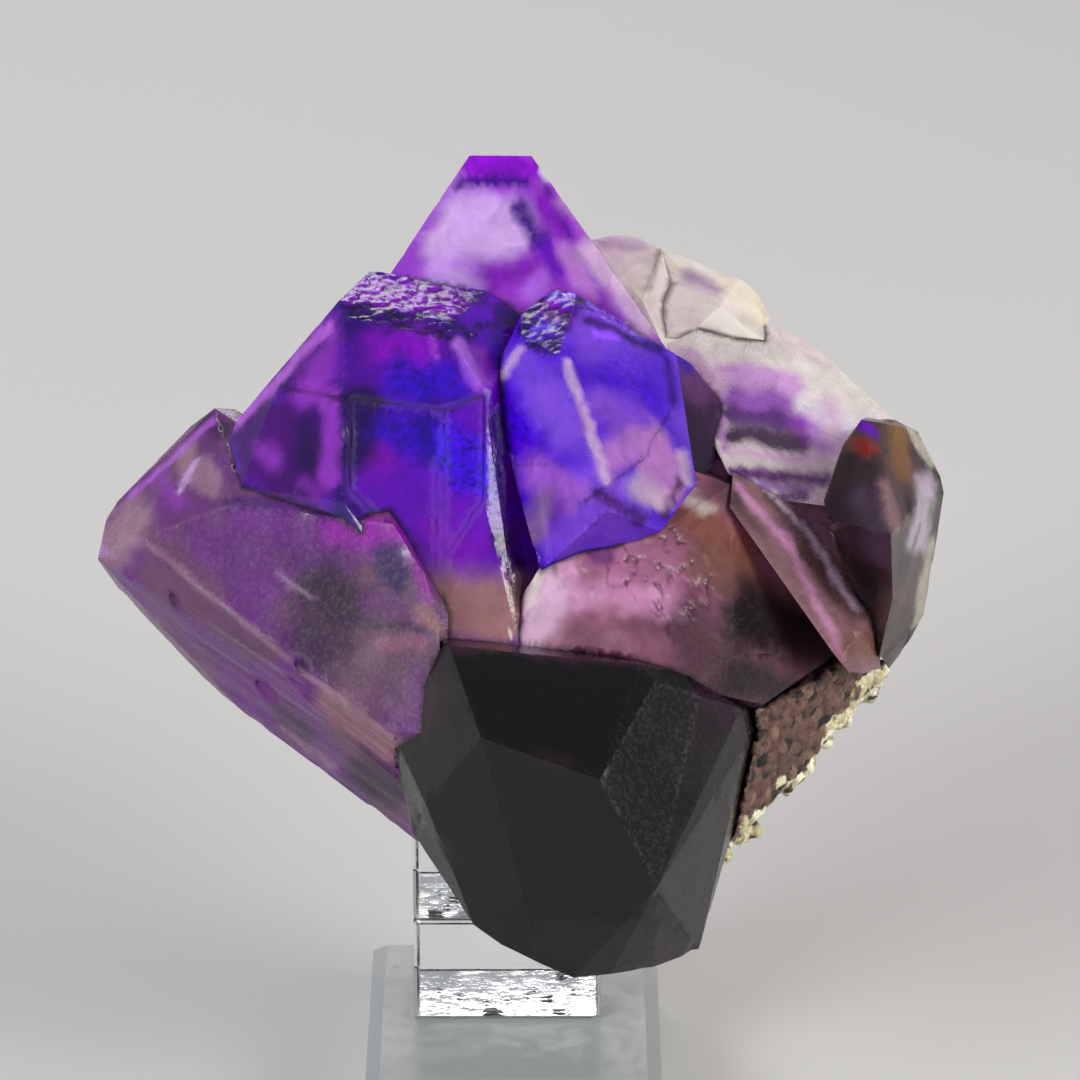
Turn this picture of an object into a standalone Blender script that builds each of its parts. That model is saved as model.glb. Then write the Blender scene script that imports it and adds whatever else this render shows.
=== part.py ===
"""A cluster of pointed quartz crystals on its broken root, with a crust of matrix, standing on a clear block stand.

Sizes in this file are millimetres until a mesh is made. Z is up, X runs to the right and Y to the back.
The stand is set out from the centre of the base plate's underside. The crystals' corners are set out
from the seat: the centre of the flat patch that the cluster rests on, on top of the upper riser.
"""

import math
import random

import bmesh
import bpy
from mathutils import Matrix, Vector

MM = 0.001
GAP = 0.3  # between pieces that touch

BASE_SIDE = 40.0
BASE_TALL = 10.0
BASE_BEVEL = 2.0
RISER_WIDE = 25.4
RISER_DEEP = 22.0
RISER_TALL = 15.1
RISER_X = -0.9
RISER_Y = 8.5
RISER_EASE = 0.4  # the polished edge of a riser

LOWER_RISER_Z = BASE_TALL + GAP
UPPER_RISER_Z = LOWER_RISER_Z + RISER_TALL + GAP
SEAT_Z = UPPER_RISER_Z + RISER_TALL + GAP
SEAT = (RISER_X, RISER_Y, SEAT_Z)

FLAT_WITHIN = math.radians(7)  # corners this near to one plane make one face
CLEARANCE = 0.5  # how far each corner of a crystal is pushed out to cut the crust clear of it

# Each crystal is the convex solid through its corners. A comment names the faces that they bound.
SUMMIT = (
    # small cap: back edge, then front edge
    (-5, 27, 80.5), (3.5, 26.5, 81), (2, 23.5, 77.5), (-7.5, 23.5, 77),
    # left edge, right edge and the ridge between its two front faces
    (-15, 16, 68.5), (-20.5, 10.5, 62), (18.5, 21.5, 60), (21, 20.5, 56), (17.5, 10.5, 65),
    (21.5, 11, 59), (5, 17.5, 71.5), (10.5, 10.5, 65), (2, 3, 55.5),
    # back faces
    (-4, 38.5, 75.5), (3.5, 39.5, 74.5), (-10.5, 37, 58), (13, 38.5, 56.5), (18.5, 35.5, 49.5),
    (-15, 33.5, 50.5),
)
TOWER = (
    # six-sided cap
    (-18.5, 13, 69.5), (-2.5, 11, 67.5), (-6.5, 2.5, 66.5), (-8.5, 2, 66.5), (-21, 3.5, 68),
    (-22, 5, 68.5),
    # narrow face under the cap, and the face that falls away to the right
    (-21, 2, 67.5), (-10, -0.5, 65.5), (-6.5, -1, 65), (2, 11, 64), (-2, -4.5, 60), (-3, -5, 60.5),
    # broad front face
    (-2.5, -7, 58), (-2.5, -15, 47.5), (2, -24.5, 32), (-21, -13.5, 48), (-8.5, -24, 35.5),
    (-8.5, -26, 31.5),
    # left faces
    (-33, 8.5, 53), (-36, 9, 49.5), (-37, 9, 47), (-36.5, 5.5, 44.5), (-35, -0.5, 44.5),
    (-31.5, 2.5, 53.5),
    # right side, then the back
    (5, 20.5, 57.5), (8, 11, 47.5), (8.5, -5, 24), (-16.5, 24, 63), (-3.5, 23, 60.5),
    (-28.5, 30.5, 43.5), (-1, 34, 42), (-33.5, 22.5, 36.5), (-24.5, 17.5, 25), (-1, 13, 15),
)
BLUE_POINT = (
    # two small faces at the tip
    (5.5, 9, 68), (6.5, 8, 69), (9, 7, 68.5), (7, -1.5, 66.5), (2, 1, 65.5), (7, -5.5, 65),
    (2.5, -1.5, 64.5),
    # left face, down to its foot and the bright ridge
    (2, 5, 66.5), (-1.5, 1, 60.5), (-2, -1, 59), (4.5, -17.5, 40), (13.5, -17.5, 52.5),
    # right face and the narrow bevel along its top
    (22.5, 9, 59.5), (21.5, 1, 55.5), (9, 4, 68.5), (21.5, 7, 59),
    # lower wedge
    (25, -5.5, 47), (20, -16, 45), (13, -21.5, 50.5),
    # back
    (7.5, 17.5, 63.5), (-0.5, 17, 52.5), (20, 20, 54), (22, 19, 42.5), (12.5, 13, 30),
)
LEFT_WING = (
    # broad front face
    (-36.5, -3, 43), (-14.5, -18, 47), (-10.5, -23.5, 42.5), (-8.5, -27.5, 37.5),
    (-7.5, -34.5, 25), (-14.5, -30.5, 23.5), (-50, 3.5, 35),
    # bevel above it
    (-15, -12, 47), (-7.5, -22, 37.5),
    # tip and the upper left faces
    (-55.5, 9.5, 29), (-54.5, 13.5, 33), (-53, 15.5, 35), (-48, 15.5, 40), (-43, 19, 44.5),
    (-39.5, 17, 48), (-36.5, 16.5, 48.5),
    # long striated band and the keel below it
    (-55.5, 11, 28), (-53, 12, 23.5), (-46.5, 9.5, 17), (-41.5, 6, 13), (-35.5, 0.5, 10),
    (-19.5, -13.5, 4), (-12, -19, 1.5), (-8.5, -23.5, 3.5),
    # back
    (-52.5, 24.5, 26.5), (-42.5, 30, 37.5), (-34.5, 30.5, 39), (-29, 9.5, 3), (-7, 1.5, 1),
    (-12, 20, 30),
)
FRONT_POINT = (
    # thin lit strip along its top
    (-9, -24.5, 34), (17, -26.5, 32), (-7, -32, 36.5), (17, -32.5, 34), (19, -34, 32.5),
    # upper face, and the two corners that it shares with the diamond below it
    (12, -48.5, 26), (-3, -44, 29.5), (19, -51.5, 12), (2, -47, 9.5),
    # left faces
    (-14.5, -27.5, 21.5), (-11.5, -28, 28), (-14, -26.5, 16.5), (-12, -31, 9), (-8.5, -33.5, 29.5),
    (-10, -38.5, 17),
    # broken lower rim, left to right
    (-8.5, -36.5, 6.5), (-4, -42, 1.5), (-0.5, -43.5, -0.5), (4.5, -45, -2.5), (8.5, -45.5, -4),
    (13.5, -45, -4), (19, -42.5, -4.5), (25, -38.5, -4.5),
    # right shoulder
    (23, -29.5, 31), (25, -30.5, 28.5), (30.5, -25, 24), (31.5, -25, 19.5), (31, -20.5, 8),
    # back and underside
    (-8, 3.5, 14), (19.5, 2, 11.5), (35, -6.5, 15), (29, -16.5, 2), (11, -16.5, 0.5),
    (-9, -16.5, 1), (-13, -11.5, 5),
)
ROSE_BODY = (
    (10.5, -11.5, 48), (8.5, -14, 46), (2.5, -18.5, 38), (1, -20.5, 34.5), (1.5, -25.5, 31),
    (14, -25, 36.5), (17.5, -29, 31.5), (24, -1, 47), (29.5, -1, 45), (29.5, -22, 30.5),
    (33.5, -22, 23), (44, -9.5, 24.5), (23.5, -29.5, 29), (17.5, -16, 43),
    # back
    (11.5, 18, 31), (29, 21, 37), (43, 11.5, 17.5), (35, -0.5, 11), (5, 1.5, 3), (18.5, 26, 24.5),
    (4.5, 8, 23.5),
)
VIOLET_STEP = (
    (21.5, 13, 58), (24.5, 14, 56), (29, 13, 50.5), (28.5, 6, 46), (25, -2, 45), (22, 3.5, 54.5),
    (23, -2, 47.5), (23.5, 28.5, 49), (28.5, 24.5, 40), (23.5, 18.5, 37),
)
PALE_SHOULDER = (
    (11.5, 35, 65.5), (15, 36.5, 65.5), (18, 36, 65.5), (21, 33.5, 64.5), (18.5, 25, 60.5),
    (21, 22.5, 55), (12.5, 27, 60), (23, 29, 59), (13.5, 45, 60.5), (19.5, 44.5, 60),
    (18.5, 43.5, 48.5),
)
PALE_RIDGE = (
    (21, 36.5, 63.5), (24, 35, 62.5), (28.5, 34, 61), (32, 34.5, 60), (34.5, 34, 58),
    (36, 31.5, 55.5), (35, 25.5, 54.5), (33, 25, 55), (26, 24.5, 57), (23, 24.5, 57),
    (21, 24, 55.5), (18.5, 28, 59.5), (29, 26.5, 59), (25.5, 47, 55.5), (33, 45.5, 52.5),
    (23, 45.5, 47.5), (35.5, 42.5, 46),
)
PALE_FACE = (
    (21.5, 21.5, 55.5), (26, 24.5, 56.5), (35, 25, 54), (37, 29, 55), (42, 28, 52.5),
    (46.5, 26, 49), (50.5, 24, 46), (52.5, 22.5, 44.5), (54, 19.5, 42.5), (48.5, 6, 38),
    (43, 3.5, 39.5), (35.5, 1, 42), (29.5, 2, 45), (29, 12.5, 50.5), (24.5, 17.5, 54),
    (27, 44.5, 45), (46.5, 40, 40), (52, 33, 30), (32.5, 33, 30),
)
BAR_PRISM = (
    # front face, from its upper left end to its blunt lower end
    (29, -5.5, 43.5), (30, 0.5, 46), (36.5, -3.5, 40), (45.5, -10.5, 31.5), (44, -18, 28),
    (43, -18, 28.5), (45, -17.5, 26), (47, -15, 24), (49.5, -10.5, 22.5),
    # upper face
    (35, 1, 43), (42, 0, 39), (47.5, -5.5, 33), (49, -8.5, 31),
    # back
    (32.5, 19, 33.5), (40, 18.5, 27.5), (49, 11.5, 17.5), (46.5, 4.5, 16.5),
)
SMOKY_POINT = (
    # dark left face and the ridge that ends it
    (47, 4, 52), (44.5, 2.5, 49), (43, -1, 45.5), (42, -3, 43.5), (42, -5.5, 42), (43.5, -7, 39),
    (46.5, -10, 36), (49.5, 4.5, 51.5), (47.5, -3, 48), (50, -14, 43.5), (50.5, -13.5, 34),
    (49.5, -10.5, 24.5),
    # rounded right rim, top to bottom
    (48, 8.5, 50.5), (52, 12, 48.5), (55.5, 14, 46), (57, 13.5, 42.5), (58.5, 12, 40),
    (59, 11.5, 38), (58.5, 8.5, 34.5), (57.5, 5, 29.5), (56, 1, 25), (54, -1.5, 22),
    (52.5, -2.5, 20), (51, -4, 19),
    # back
    (49.5, 23, 42), (56.5, 22, 35), (56, 13.5, 21), (46.5, 11.5, 35.5), (51.5, 5.5, 18),
)
BACK_LEFT_POINT = (
    (-21, 39.5, 47), (-16, 41.5, 46), (-21, 42.5, 43), (-35, 23.5, 31), (-32, 33.5, 21),
    (-17, 35.5, 21), (-9, 35.5, 39), (-15, 25.5, 49), (-19, 1.5, 19), (-29, 9.5, 15),
)
BACK_TOP_POINT = (
    (-3, 49.5, 61), (3, 50.5, 62), (1, 53.5, 57), (-12, 37.5, 53), (-14, 41.5, 39),
    (-7, 47.5, 31), (11, 49.5, 35), (17, 41.5, 45), (13, 35.5, 57), (1, 11.5, 23),
)
BACK_RIGHT_POINT = (
    (35, 47.5, 41), (41, 48.5, 39), (39, 51.5, 35), (23, 39.5, 45), (21, 45.5, 25),
    (31, 41.5, 16), (47, 37.5, 23), (49, 31.5, 37), (31, 11.5, 19),
)
BACK_LOW_POINT = (
    (-7, 53.5, 19), (-2, 54.5, 21), (-1, 55.5, 16), (-17, 39.5, 27), (-19, 37.5, 15),
    (-7, 41.5, 9), (9, 41.5, 15), (9, 43.5, 27), (-5, 41.5, 33), (1, 11.5, 19),
)
HEART = (
    (26, 10, 46.5), (31.5, 11.5, 45), (44, 9.5, 39), (44, 3.5, 35.5), (28.5, 4, 41.5),
    (26, 5, 43), (27, 35.5, 35.5), (46, 34.5, 28), (45.5, 26, 24.5), (26.5, 27, 31.5),
)
ROOT = (
    # the flat patch that rests on the riser
    (-14, -11.5, 0), (14, -11.5, 0), (-14, 12, 0), (14, 12, 0),
    # the broken mass above it
    (-29, 15.5, 13), (-17, 31.5, 13), (11, 39.5, 17), (27, 33.5, 21), (31, 11.5, 17),
    (-24, -0.5, 7), (1, 21.5, 43), (19, -4.5, 9), (-11, 25.5, 5), (11, 29.5, 6),
)
CRYSTALS = {
    "tower": TOWER,
    "summit": SUMMIT,
    "blue_point": BLUE_POINT,
    "left_wing": LEFT_WING,
    "front_point": FRONT_POINT,
    "rose_body": ROSE_BODY,
    "violet_step": VIOLET_STEP,
    "pale_shoulder": PALE_SHOULDER,
    "pale_ridge": PALE_RIDGE,
    "pale_face": PALE_FACE,
    "bar_prism": BAR_PRISM,
    "smoky_point": SMOKY_POINT,
    "back_left_point": BACK_LEFT_POINT,
    "back_top_point": BACK_TOP_POINT,
    "back_right_point": BACK_RIGHT_POINT,
    "back_low_point": BACK_LOW_POINT,
    "heart": HEART,
    "root": ROOT,
}
CRUST = (
    # rim against the crystals
    (50, -3, 19.5), (45, -10, 23.5), (37, -17.5, 21.5), (32, -20, 20.5), (26, -26.5, 1),
    # outer rim, from the right down to the front
    (51, -2.5, 18), (49, 0, 14), (44.5, 0, 9.5), (40, -3, 4.5), (36.5, -6, 2.5),
    (32.5, -11.5, 0.5), (28, -19, -1.5), (26, -25.5, -1),
    # back and underside
    (37, 21.5, 15), (17, 25.5, 9), (17, 21.5, 3), (35, 17.5, 8), (16, -8.5, 3), (21, -20.5, -1),
)
CRUST_RIM = CRUST[5:13]
CRUST_UNDERSIDE = CRUST[13:]
GRAIN_EVERY = 1.7  # along the rim
GRAIN_SIZES = (1.3, 2.4)
GRAIN_SEED = 11

# Growth layers that stand proud of the tower's front face, along its step line, and thin out
# downwards: for each, its upper corners, then its lower ones, all on the face.
LEDGE_RISE = 0.7
LEDGES = (
    (
        ((-19.8, -5.2, 58.8), (-13.4, -5.9, 58.2), (-7.9, -6.7, 57.7)),
        ((-7.9, -20.4, 40.5), (-13.6, -15.3, 46.3), (-20.1, -12.4, 49.3)),
    ),
    (
        ((-8.9, -6.6, 57.8), (-5.2, -6.4, 58.3), (-3, -5.8, 59.3)),
        ((-3, -14.2, 48.6), (-8.9, -19.7, 41.3)),
    ),
)

# Striations along the left wing: the two ends of each ridge.
RIDGE_WIDE = 0.9
RIDGE_RISE = 0.4
RIDGES = (
    ((-32.0, -13.6, 28.2), (-14.1, -29.9, 22.2)),
    ((-31.0, -14.4, 26.4), (-14.1, -28.4, 19.9)),
    ((-28.3, -15.9, 23.8), (-14.2, -27.0, 17.9)),
    ((-26.4, -16.6, 21.6), (-14.1, -25.9, 16.0)),
    ((-23.1, -17.9, 18.3), (-14.2, -24.5, 13.9)),
)
RIDGE_FACES = (-0.68, -0.67, -0.25)

# Low lumps of the etched patch on the rose body, and the pits of the wing: centre and radius.
LUMP_RISE = 0.45
LUMPS = (
    ((12.2, -18.4, 42.0), 1.3), ((15.1, -17.1, 42.6), 1.2), ((18.2, -16.1, 42.4), 1.4),
    ((21.1, -15.1, 41.1), 1.2), ((13.5, -20.4, 40.2), 1.4), ((16.3, -19.2, 40.7), 1.1),
    ((19.3, -17.9, 40.4), 1.3), ((21.9, -17.5, 38.8), 1.2), ((15.0, -21.9, 38.7), 1.1),
    ((18.0, -20.8, 38.6), 1.4), ((20.5, -20.5, 37.6), 1.0), ((24.0, -15.1, 39.1), 1.2),
)
LUMPS_FACE = (0.3, -0.6, 0.74)
PIT_DEEP = 0.6
PITS = (((-44.3, -1.6, 28.2), 1.2), ((-26.8, -18.5, 26.7), 1.1), ((-32.1, -8.3, 18.2), 1.9))
PITS_FACE = (-0.68, -0.68, -0.25)


def clear_scene():
    for obj in list(bpy.data.objects):
        bpy.data.objects.remove(obj, do_unlink=True)


def collection(name):
    made = bpy.data.collections.new(name)
    bpy.context.scene.collection.children.link(made)
    return made


def material(name, color, roughness, transmission=0.0, ior=1.5):
    made = bpy.data.materials.new(name)
    made.use_nodes = True
    surface = made.node_tree.nodes["Principled BSDF"]
    surface.inputs["Base Color"].default_value = (*color, 1)
    surface.inputs["Roughness"].default_value = roughness
    surface.inputs["Metallic"].default_value = 0
    surface.inputs["Transmission Weight"].default_value = transmission
    surface.inputs["IOR"].default_value = ior
    return made


def object_from(name, bm, home):
    """An object of this name in the collection, from a mesh set out in millimetres."""
    bmesh.ops.scale(bm, vec=(MM, MM, MM), verts=bm.verts)
    mesh = bpy.data.meshes.new(name)
    bm.to_mesh(mesh)
    bm.free()
    made = bpy.data.objects.new(name, mesh)
    home.objects.link(made)
    return made


def convex_solid(corners):
    """The convex solid through these corners, with its nearly flat faces made flat."""
    bm = bmesh.new()
    for corner in corners:
        bm.verts.new(corner)
    hull = bmesh.ops.convex_hull(bm, input=bm.verts)
    loose = {part for part in hull["geom_interior"] + hull["geom_unused"]}
    loose = [part for part in loose if isinstance(part, bmesh.types.BMVert)]
    bmesh.ops.delete(bm, geom=loose, context="VERTS")
    bmesh.ops.dissolve_limit(bm, angle_limit=FLAT_WITHIN, verts=bm.verts, edges=bm.edges)
    bmesh.ops.planar_faces(bm, faces=bm.faces, iterations=60, factor=0.5)
    bmesh.ops.triangulate(bm, faces=bm.faces)
    bmesh.ops.recalc_face_normals(bm, faces=bm.faces)
    return bm


def crystal(name, corners, home, seat):
    made = object_from(name, convex_solid(corners), home)
    made.parent = seat
    return made


def swollen_crystal(name, corners, home, seat):
    """The crystal a little larger all round, which cuts its clearance in the crust."""
    bm = convex_solid(corners)
    bm.normal_update()
    for vert in bm.verts:
        vert.co += vert.normal * CLEARANCE
    made = object_from(f"{name}_clearance", bm, home)
    made.parent = seat
    return made


def ledge(name, upper, lower, home, seat):
    """A flat growth layer, raised off its face along its upper edge and flush along its lower one."""
    upper, lower = [Vector(place) for place in upper], [Vector(place) for place in lower]
    across = (upper[-1] - upper[0]).cross(lower[0] - upper[0]).normalized()
    outward = across if across.y < 0 else -across
    raised = [place + outward * LEDGE_RISE for place in upper]
    sunk = [place - outward * 2 for place in upper + lower]
    return crystal(name, raised + lower + sunk, home, seat)


def ridge(name, start, end, home, seat):
    """A striation: a long low prism along a face, tapering at its first end."""
    start, end, outward = Vector(start), Vector(end), Vector(RIDGE_FACES)
    side = (end - start).cross(outward).normalized() * RIDGE_WIDE / 2
    crest = [start, start.lerp(end, 0.15) + outward * RIDGE_RISE, end + outward * RIDGE_RISE]
    foot = [place - outward * 1.2 + sign * side for place in (start, end) for sign in (-1, 1)]
    flank = [start.lerp(end, 0.15) + sign * side for sign in (-1, 1)]
    return crystal(name, crest + foot + flank + [end - side, end + side], home, seat)


def dome(name, place, size, rise, face, home, seat):
    """A flattened ball whose middle sits on a face, standing this far out of it."""
    bm = bmesh.new()
    stretch = Matrix.Diagonal((size, size, rise, 1))
    turn = Vector(face).to_track_quat("Z", "Y").to_matrix().to_4x4()
    bmesh.ops.create_icosphere(
        bm, subdivisions=2, radius=1, matrix=Matrix.Translation(place) @ turn @ stretch
    )
    made = object_from(name, bm, home)
    made.parent = seat
    return made


def lump(bm, place, size, spin):
    """A rounded grain of rock, longer than it is tall, turned by spin."""
    turn = Matrix.Rotation(spin, 4, "Z") @ Matrix.Rotation(spin * 0.7, 4, "X")
    stretch = Matrix.Diagonal((size, size * 0.8, size * 0.7, 1))
    bmesh.ops.create_icosphere(
        bm, subdivisions=1, radius=1, matrix=Matrix.Translation(place) @ turn @ stretch
    )


def crust_grains(home, seat):
    """Grains that make the crust's rim and underside rough, each one a solid to be joined to it."""
    draw = random.Random(GRAIN_SEED)
    places = []
    for start, end in zip(CRUST_RIM, CRUST_RIM[1:]):
        start, end = Vector(start), Vector(end)
        count = max(2, round((end - start).length / GRAIN_EVERY))
        places += [start.lerp(end, (step + 0.5) / count) for step in range(count)]
    for start in CRUST_UNDERSIDE:
        for end in CRUST_UNDERSIDE:
            if start < end:
                places.append(Vector(start).lerp(Vector(end), draw.uniform(0.3, 0.7)))
    grains = []
    for number, place in enumerate(places):
        shift = Vector([draw.uniform(-0.7, 0.7) for _ in range(3)])
        bm = bmesh.new()
        lump(bm, place + shift, draw.uniform(*GRAIN_SIZES), draw.uniform(0, math.tau))
        grain = object_from(f"grain_{number}", bm, home)
        grain.parent = seat
        grains.append(grain)
    return grains


def as_cutters(home):
    """Hides a collection's objects, which only shape another piece."""
    home.hide_render = True
    for obj in home.objects:
        obj.hide_render = True
        obj.display_type = "WIRE"


def boolean(obj, operation, home):
    step = obj.modifiers.new(f"{operation.lower()} {home.name}", "BOOLEAN")
    step.operation = operation
    step.solver = "EXACT"
    step.operand_type = "COLLECTION"
    step.collection = home


def block(name, size, place, ease, home, top_only=False):
    """A block of clear acrylic with bevelled edges, standing on its place."""
    bm = bmesh.new()
    bmesh.ops.create_cube(bm, size=1)
    bmesh.ops.scale(bm, vec=size, verts=bm.verts)
    edges = [
        edge
        for edge in bm.edges
        if not top_only or min(vert.co.z for vert in edge.verts) > 0
    ]
    bmesh.ops.bevel(bm, geom=edges, offset=ease, segments=1, affect="EDGES")
    made = object_from(name, bm, home)
    made.location = (place[0] * MM, place[1] * MM, (place[2] + size[2] / 2) * MM)
    return made


def build_stand(home):
    acrylic = material("clear_acrylic", (0.93, 0.96, 0.97), 0.03, 1.0, 1.49)
    riser = (RISER_WIDE, RISER_DEEP, RISER_TALL)
    pieces = [
        block("base_plate", (BASE_SIDE, BASE_SIDE, BASE_TALL), (0, 0, 0), BASE_BEVEL, home, True),
        block("riser_lower", riser, (RISER_X, RISER_Y, LOWER_RISER_Z), RISER_EASE, home),
        block("riser_upper", riser, (RISER_X, RISER_Y, UPPER_RISER_Z), RISER_EASE, home),
    ]
    for piece in pieces:
        piece.data.materials.append(acrylic)


def build_cluster(home, seat):
    growth = collection("crystal_growth")
    for name, corners in list(CRYSTALS.items())[1:]:
        crystal(name, corners, growth, seat)
    for number, (upper, lower) in enumerate(LEDGES):
        ledge(f"ledge_{number}", upper, lower, growth, seat)
    for number, (start, end) in enumerate(RIDGES):
        ridge(f"striation_{number}", start, end, growth, seat)
    for number, (place, size) in enumerate(LUMPS):
        dome(f"etched_lump_{number}", place, size, LUMP_RISE, LUMPS_FACE, growth, seat)
    as_cutters(growth)
    pits = collection("pits")
    for number, (place, size) in enumerate(PITS):
        dome(f"pit_{number}", place, size, PIT_DEEP, PITS_FACE, pits, seat)
    as_cutters(pits)
    cluster = crystal("crystal_cluster", TOWER, home, seat)
    boolean(cluster, "UNION", growth)
    boolean(cluster, "DIFFERENCE", pits)
    cluster.data.materials.append(material("violet_quartz", (0.36, 0.16, 0.62), 0.08, 0.9, 1.54))


def build_crust(home, seat):
    grains = collection("crust_grains")
    crust_grains(grains, seat)
    as_cutters(grains)
    clearance = collection("crust_clearance")
    for name, corners in CRYSTALS.items():
        swollen_crystal(name, corners, clearance, seat)
    as_cutters(clearance)
    crust = crystal("matrix_crust", CRUST, home, seat)
    boolean(crust, "UNION", grains)
    boolean(crust, "DIFFERENCE", clearance)
    crust.data.materials.append(material("granular_matrix", (0.42, 0.36, 0.26), 0.85))


def main():
    clear_scene()
    home = collection("amethyst_cluster_on_stand")
    seat = bpy.data.objects.new("seat", None)
    seat.location = Vector(SEAT) * MM
    home.objects.link(seat)
    build_stand(home)
    build_cluster(home, seat)
    build_crust(home, seat)


main()
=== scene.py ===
"""Looks for a violet quartz cluster on a clear stand: crystals, matrix crust, acrylic blocks and studio.

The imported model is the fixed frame. The quartz and the rock are fine copies of its solids with relief
and colour zones. The blocks and the plate keep their own meshes and get a finish, with glue bubbles set
in them. Meshes are in metres; the tables of places below are in millimetres.
"""

import itertools
import math

import bmesh
import bpy
import numpy as np
from mathutils import Matrix, Vector, kdtree


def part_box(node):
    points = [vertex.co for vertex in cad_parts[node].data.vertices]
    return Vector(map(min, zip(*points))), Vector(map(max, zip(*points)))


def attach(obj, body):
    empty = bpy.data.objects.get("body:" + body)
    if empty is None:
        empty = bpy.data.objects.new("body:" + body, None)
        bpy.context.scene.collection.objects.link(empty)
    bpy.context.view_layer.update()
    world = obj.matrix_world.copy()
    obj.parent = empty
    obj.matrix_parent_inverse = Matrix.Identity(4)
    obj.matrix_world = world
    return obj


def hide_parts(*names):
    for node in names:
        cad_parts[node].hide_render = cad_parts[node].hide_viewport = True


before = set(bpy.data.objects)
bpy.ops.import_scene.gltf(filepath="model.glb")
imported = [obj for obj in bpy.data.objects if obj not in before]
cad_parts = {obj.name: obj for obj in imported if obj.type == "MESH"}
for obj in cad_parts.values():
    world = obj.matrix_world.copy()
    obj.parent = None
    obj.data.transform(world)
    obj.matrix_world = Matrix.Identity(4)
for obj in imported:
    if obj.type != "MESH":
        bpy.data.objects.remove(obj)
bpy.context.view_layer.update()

bl_info = {
    "name": "Violet quartz cluster",
    "version": (1, 0, 0),
    "blender": (4, 5, 0),
    "location": "3D View > Sidebar > Quartz cluster",
    "description": "Dresses a violet quartz cluster, its matrix crust and its clear stand",
    "category": "Object",
}

MM = 0.001
BODY = "root"
GAP = 0.3  # between pieces that touch

# The seat is the middle of the patch that the cluster rests on, on top of the upper riser.
RISER_LOW, RISER_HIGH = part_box("riser_upper")
SEAT = np.array(
    [
        (RISER_LOW.x + RISER_HIGH.x) / 2 / MM,
        (RISER_LOW.y + RISER_HIGH.y) / 2 / MM,
        RISER_HIGH.z / MM + GAP,
    ]
)

# The display side is seen from this high above the horizon. Colour zones are set out on the plane that
# faces it: x runs to the right from the plate's middle, v up the plane from the plate's underside.
DISPLAY_ELEVATION = math.radians(25)
DISPLAY_UP = np.array([0, math.sin(DISPLAY_ELEVATION), math.cos(DISPLAY_ELEVATION)])
DISPLAY_LIMIT = (0.55, 0.45)  # the display side is where y times the first is under z times the second

# Tints of the quartz: red, green, blue out of 255, and how speckled the quartz is there.
TINTS = {
    "violet": (118, 38, 200, 0.35),
    "mid_violet": (112, 44, 214, 0.3),
    "deep_violet": (66, 14, 135, 0.3),
    "bright_violet": (160, 52, 218, 0.5),
    "indigo": (70, 14, 205, 0.8),
    "bright_indigo": (88, 24, 240, 1),
    "blue_violet": (104, 54, 232, 0.3),
    "periwinkle": (150, 104, 246, 0.2),
    "pale_blue_violet": (165, 120, 250, 0.2),
    "night_violet": (42, 10, 92, 0.2),
    "night": (18, 7, 30, 0),
    "plum_violet": (82, 28, 118, 0.3),
    "magenta_violet": (140, 45, 190, 0.15),
    "magenta": (168, 50, 186, 0.05),
    "orchid": (172, 90, 215, 0),
    "orchid_light": (196, 130, 232, 0.1),
    "bright_orchid": (205, 130, 240, 0),
    "lilac": (196, 138, 240, 0),
    "frosted_lilac": (230, 200, 247, 0),
    "pink_lilac": (215, 158, 230, 0.05),
    "pale_pink": (234, 206, 232, 0.1),
    "pale_mauve": (205, 165, 205, 0.1),
    "grey_lilac": (160, 125, 175, 0.1),
    "white": (250, 246, 250, 0),
    "dim_orchid": (116, 66, 128, 0.1),
    "violet_dim": (104, 42, 128, 0.1),
    "mauve": (122, 66, 140, 0.1),
    "mauve_violet": (124, 58, 148, 0.1),
    "mauve_grey": (120, 88, 112, 0.1),
    "pale_grey_pink": (176, 146, 162, 0),
    "dark_plum": (46, 16, 58, 0.1),
    "plum": (70, 30, 80, 0.1),
    "dark_indigo": (40, 12, 84, 0.2),
    "rose": (232, 176, 216, 0),
    "rose_white": (246, 210, 238, 0),
    "rose_mauve": (194, 134, 166, 0.1),
    "dusty_rose": (172, 118, 140, 0.1),
    "plum_rose": (92, 54, 72, 0.1),
    "terracotta": (150, 92, 74, 0.1),
    "tan": (138, 98, 84, 0.1),
    "umber": (34, 22, 25, 0.1),
    "dusty_beige": (172, 134, 132, 0.2),
    "warm_beige": (188, 146, 138, 0.2),
    "taupe": (98, 74, 76, 0.1),
    "grey_pink": (164, 130, 138, 0.1),
    "cream": (255, 252, 242, 0),
    "ivory": (250, 240, 238, 0),
    "warm_cream": (252, 244, 222, 0),
    "smoke_grey": (38, 34, 36, 0),
    # Partly dark smoky quartz, partly painted shade: the front point is this black where no light reaches
    # it.
    "near_black": (9, 8, 10, 0),
    "dim_plum_rose": (60, 38, 52, 0),
    "amber": (140, 104, 56, 0.1),
    "red_amber": (140, 48, 38, 0),
    "frost": (226, 224, 204, 0),
    "frost_lilac": (216, 204, 222, 0),
    "grey_violet": (86, 66, 88, 0),
}

TIP_FACET = 0.6  # size of the mesh's triangles on the tips, small enough for their hillocks
FINE_FACET = 0.5  # along a crack and on the etched patch
FINE_REACH = 0.5  # how far from a crack they are that small
STRETCH = 1.3  # an edge is split when it is longer than it should be by more than this factor

VALLEY_ANGLE = math.radians(1.5)  # a valley with more than this parts two crystals' surfaces
SHARP_ANGLE = math.radians(4)  # an edge with more than this is shaded sharp
FEATURE_ANGLE = math.radians(9)  # an edge with more than this can be worn, with a painted highlight, or hold painted shade
FAINT_ANGLE = math.radians(16)  # a valley within one crystal is shaded smooth below this
EDGE_REACH = 1.2  # how far the look of an edge can reach
LARGE_PATCH = 60  # square millimetres: a smaller patch belongs to the crystal it touches most

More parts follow.
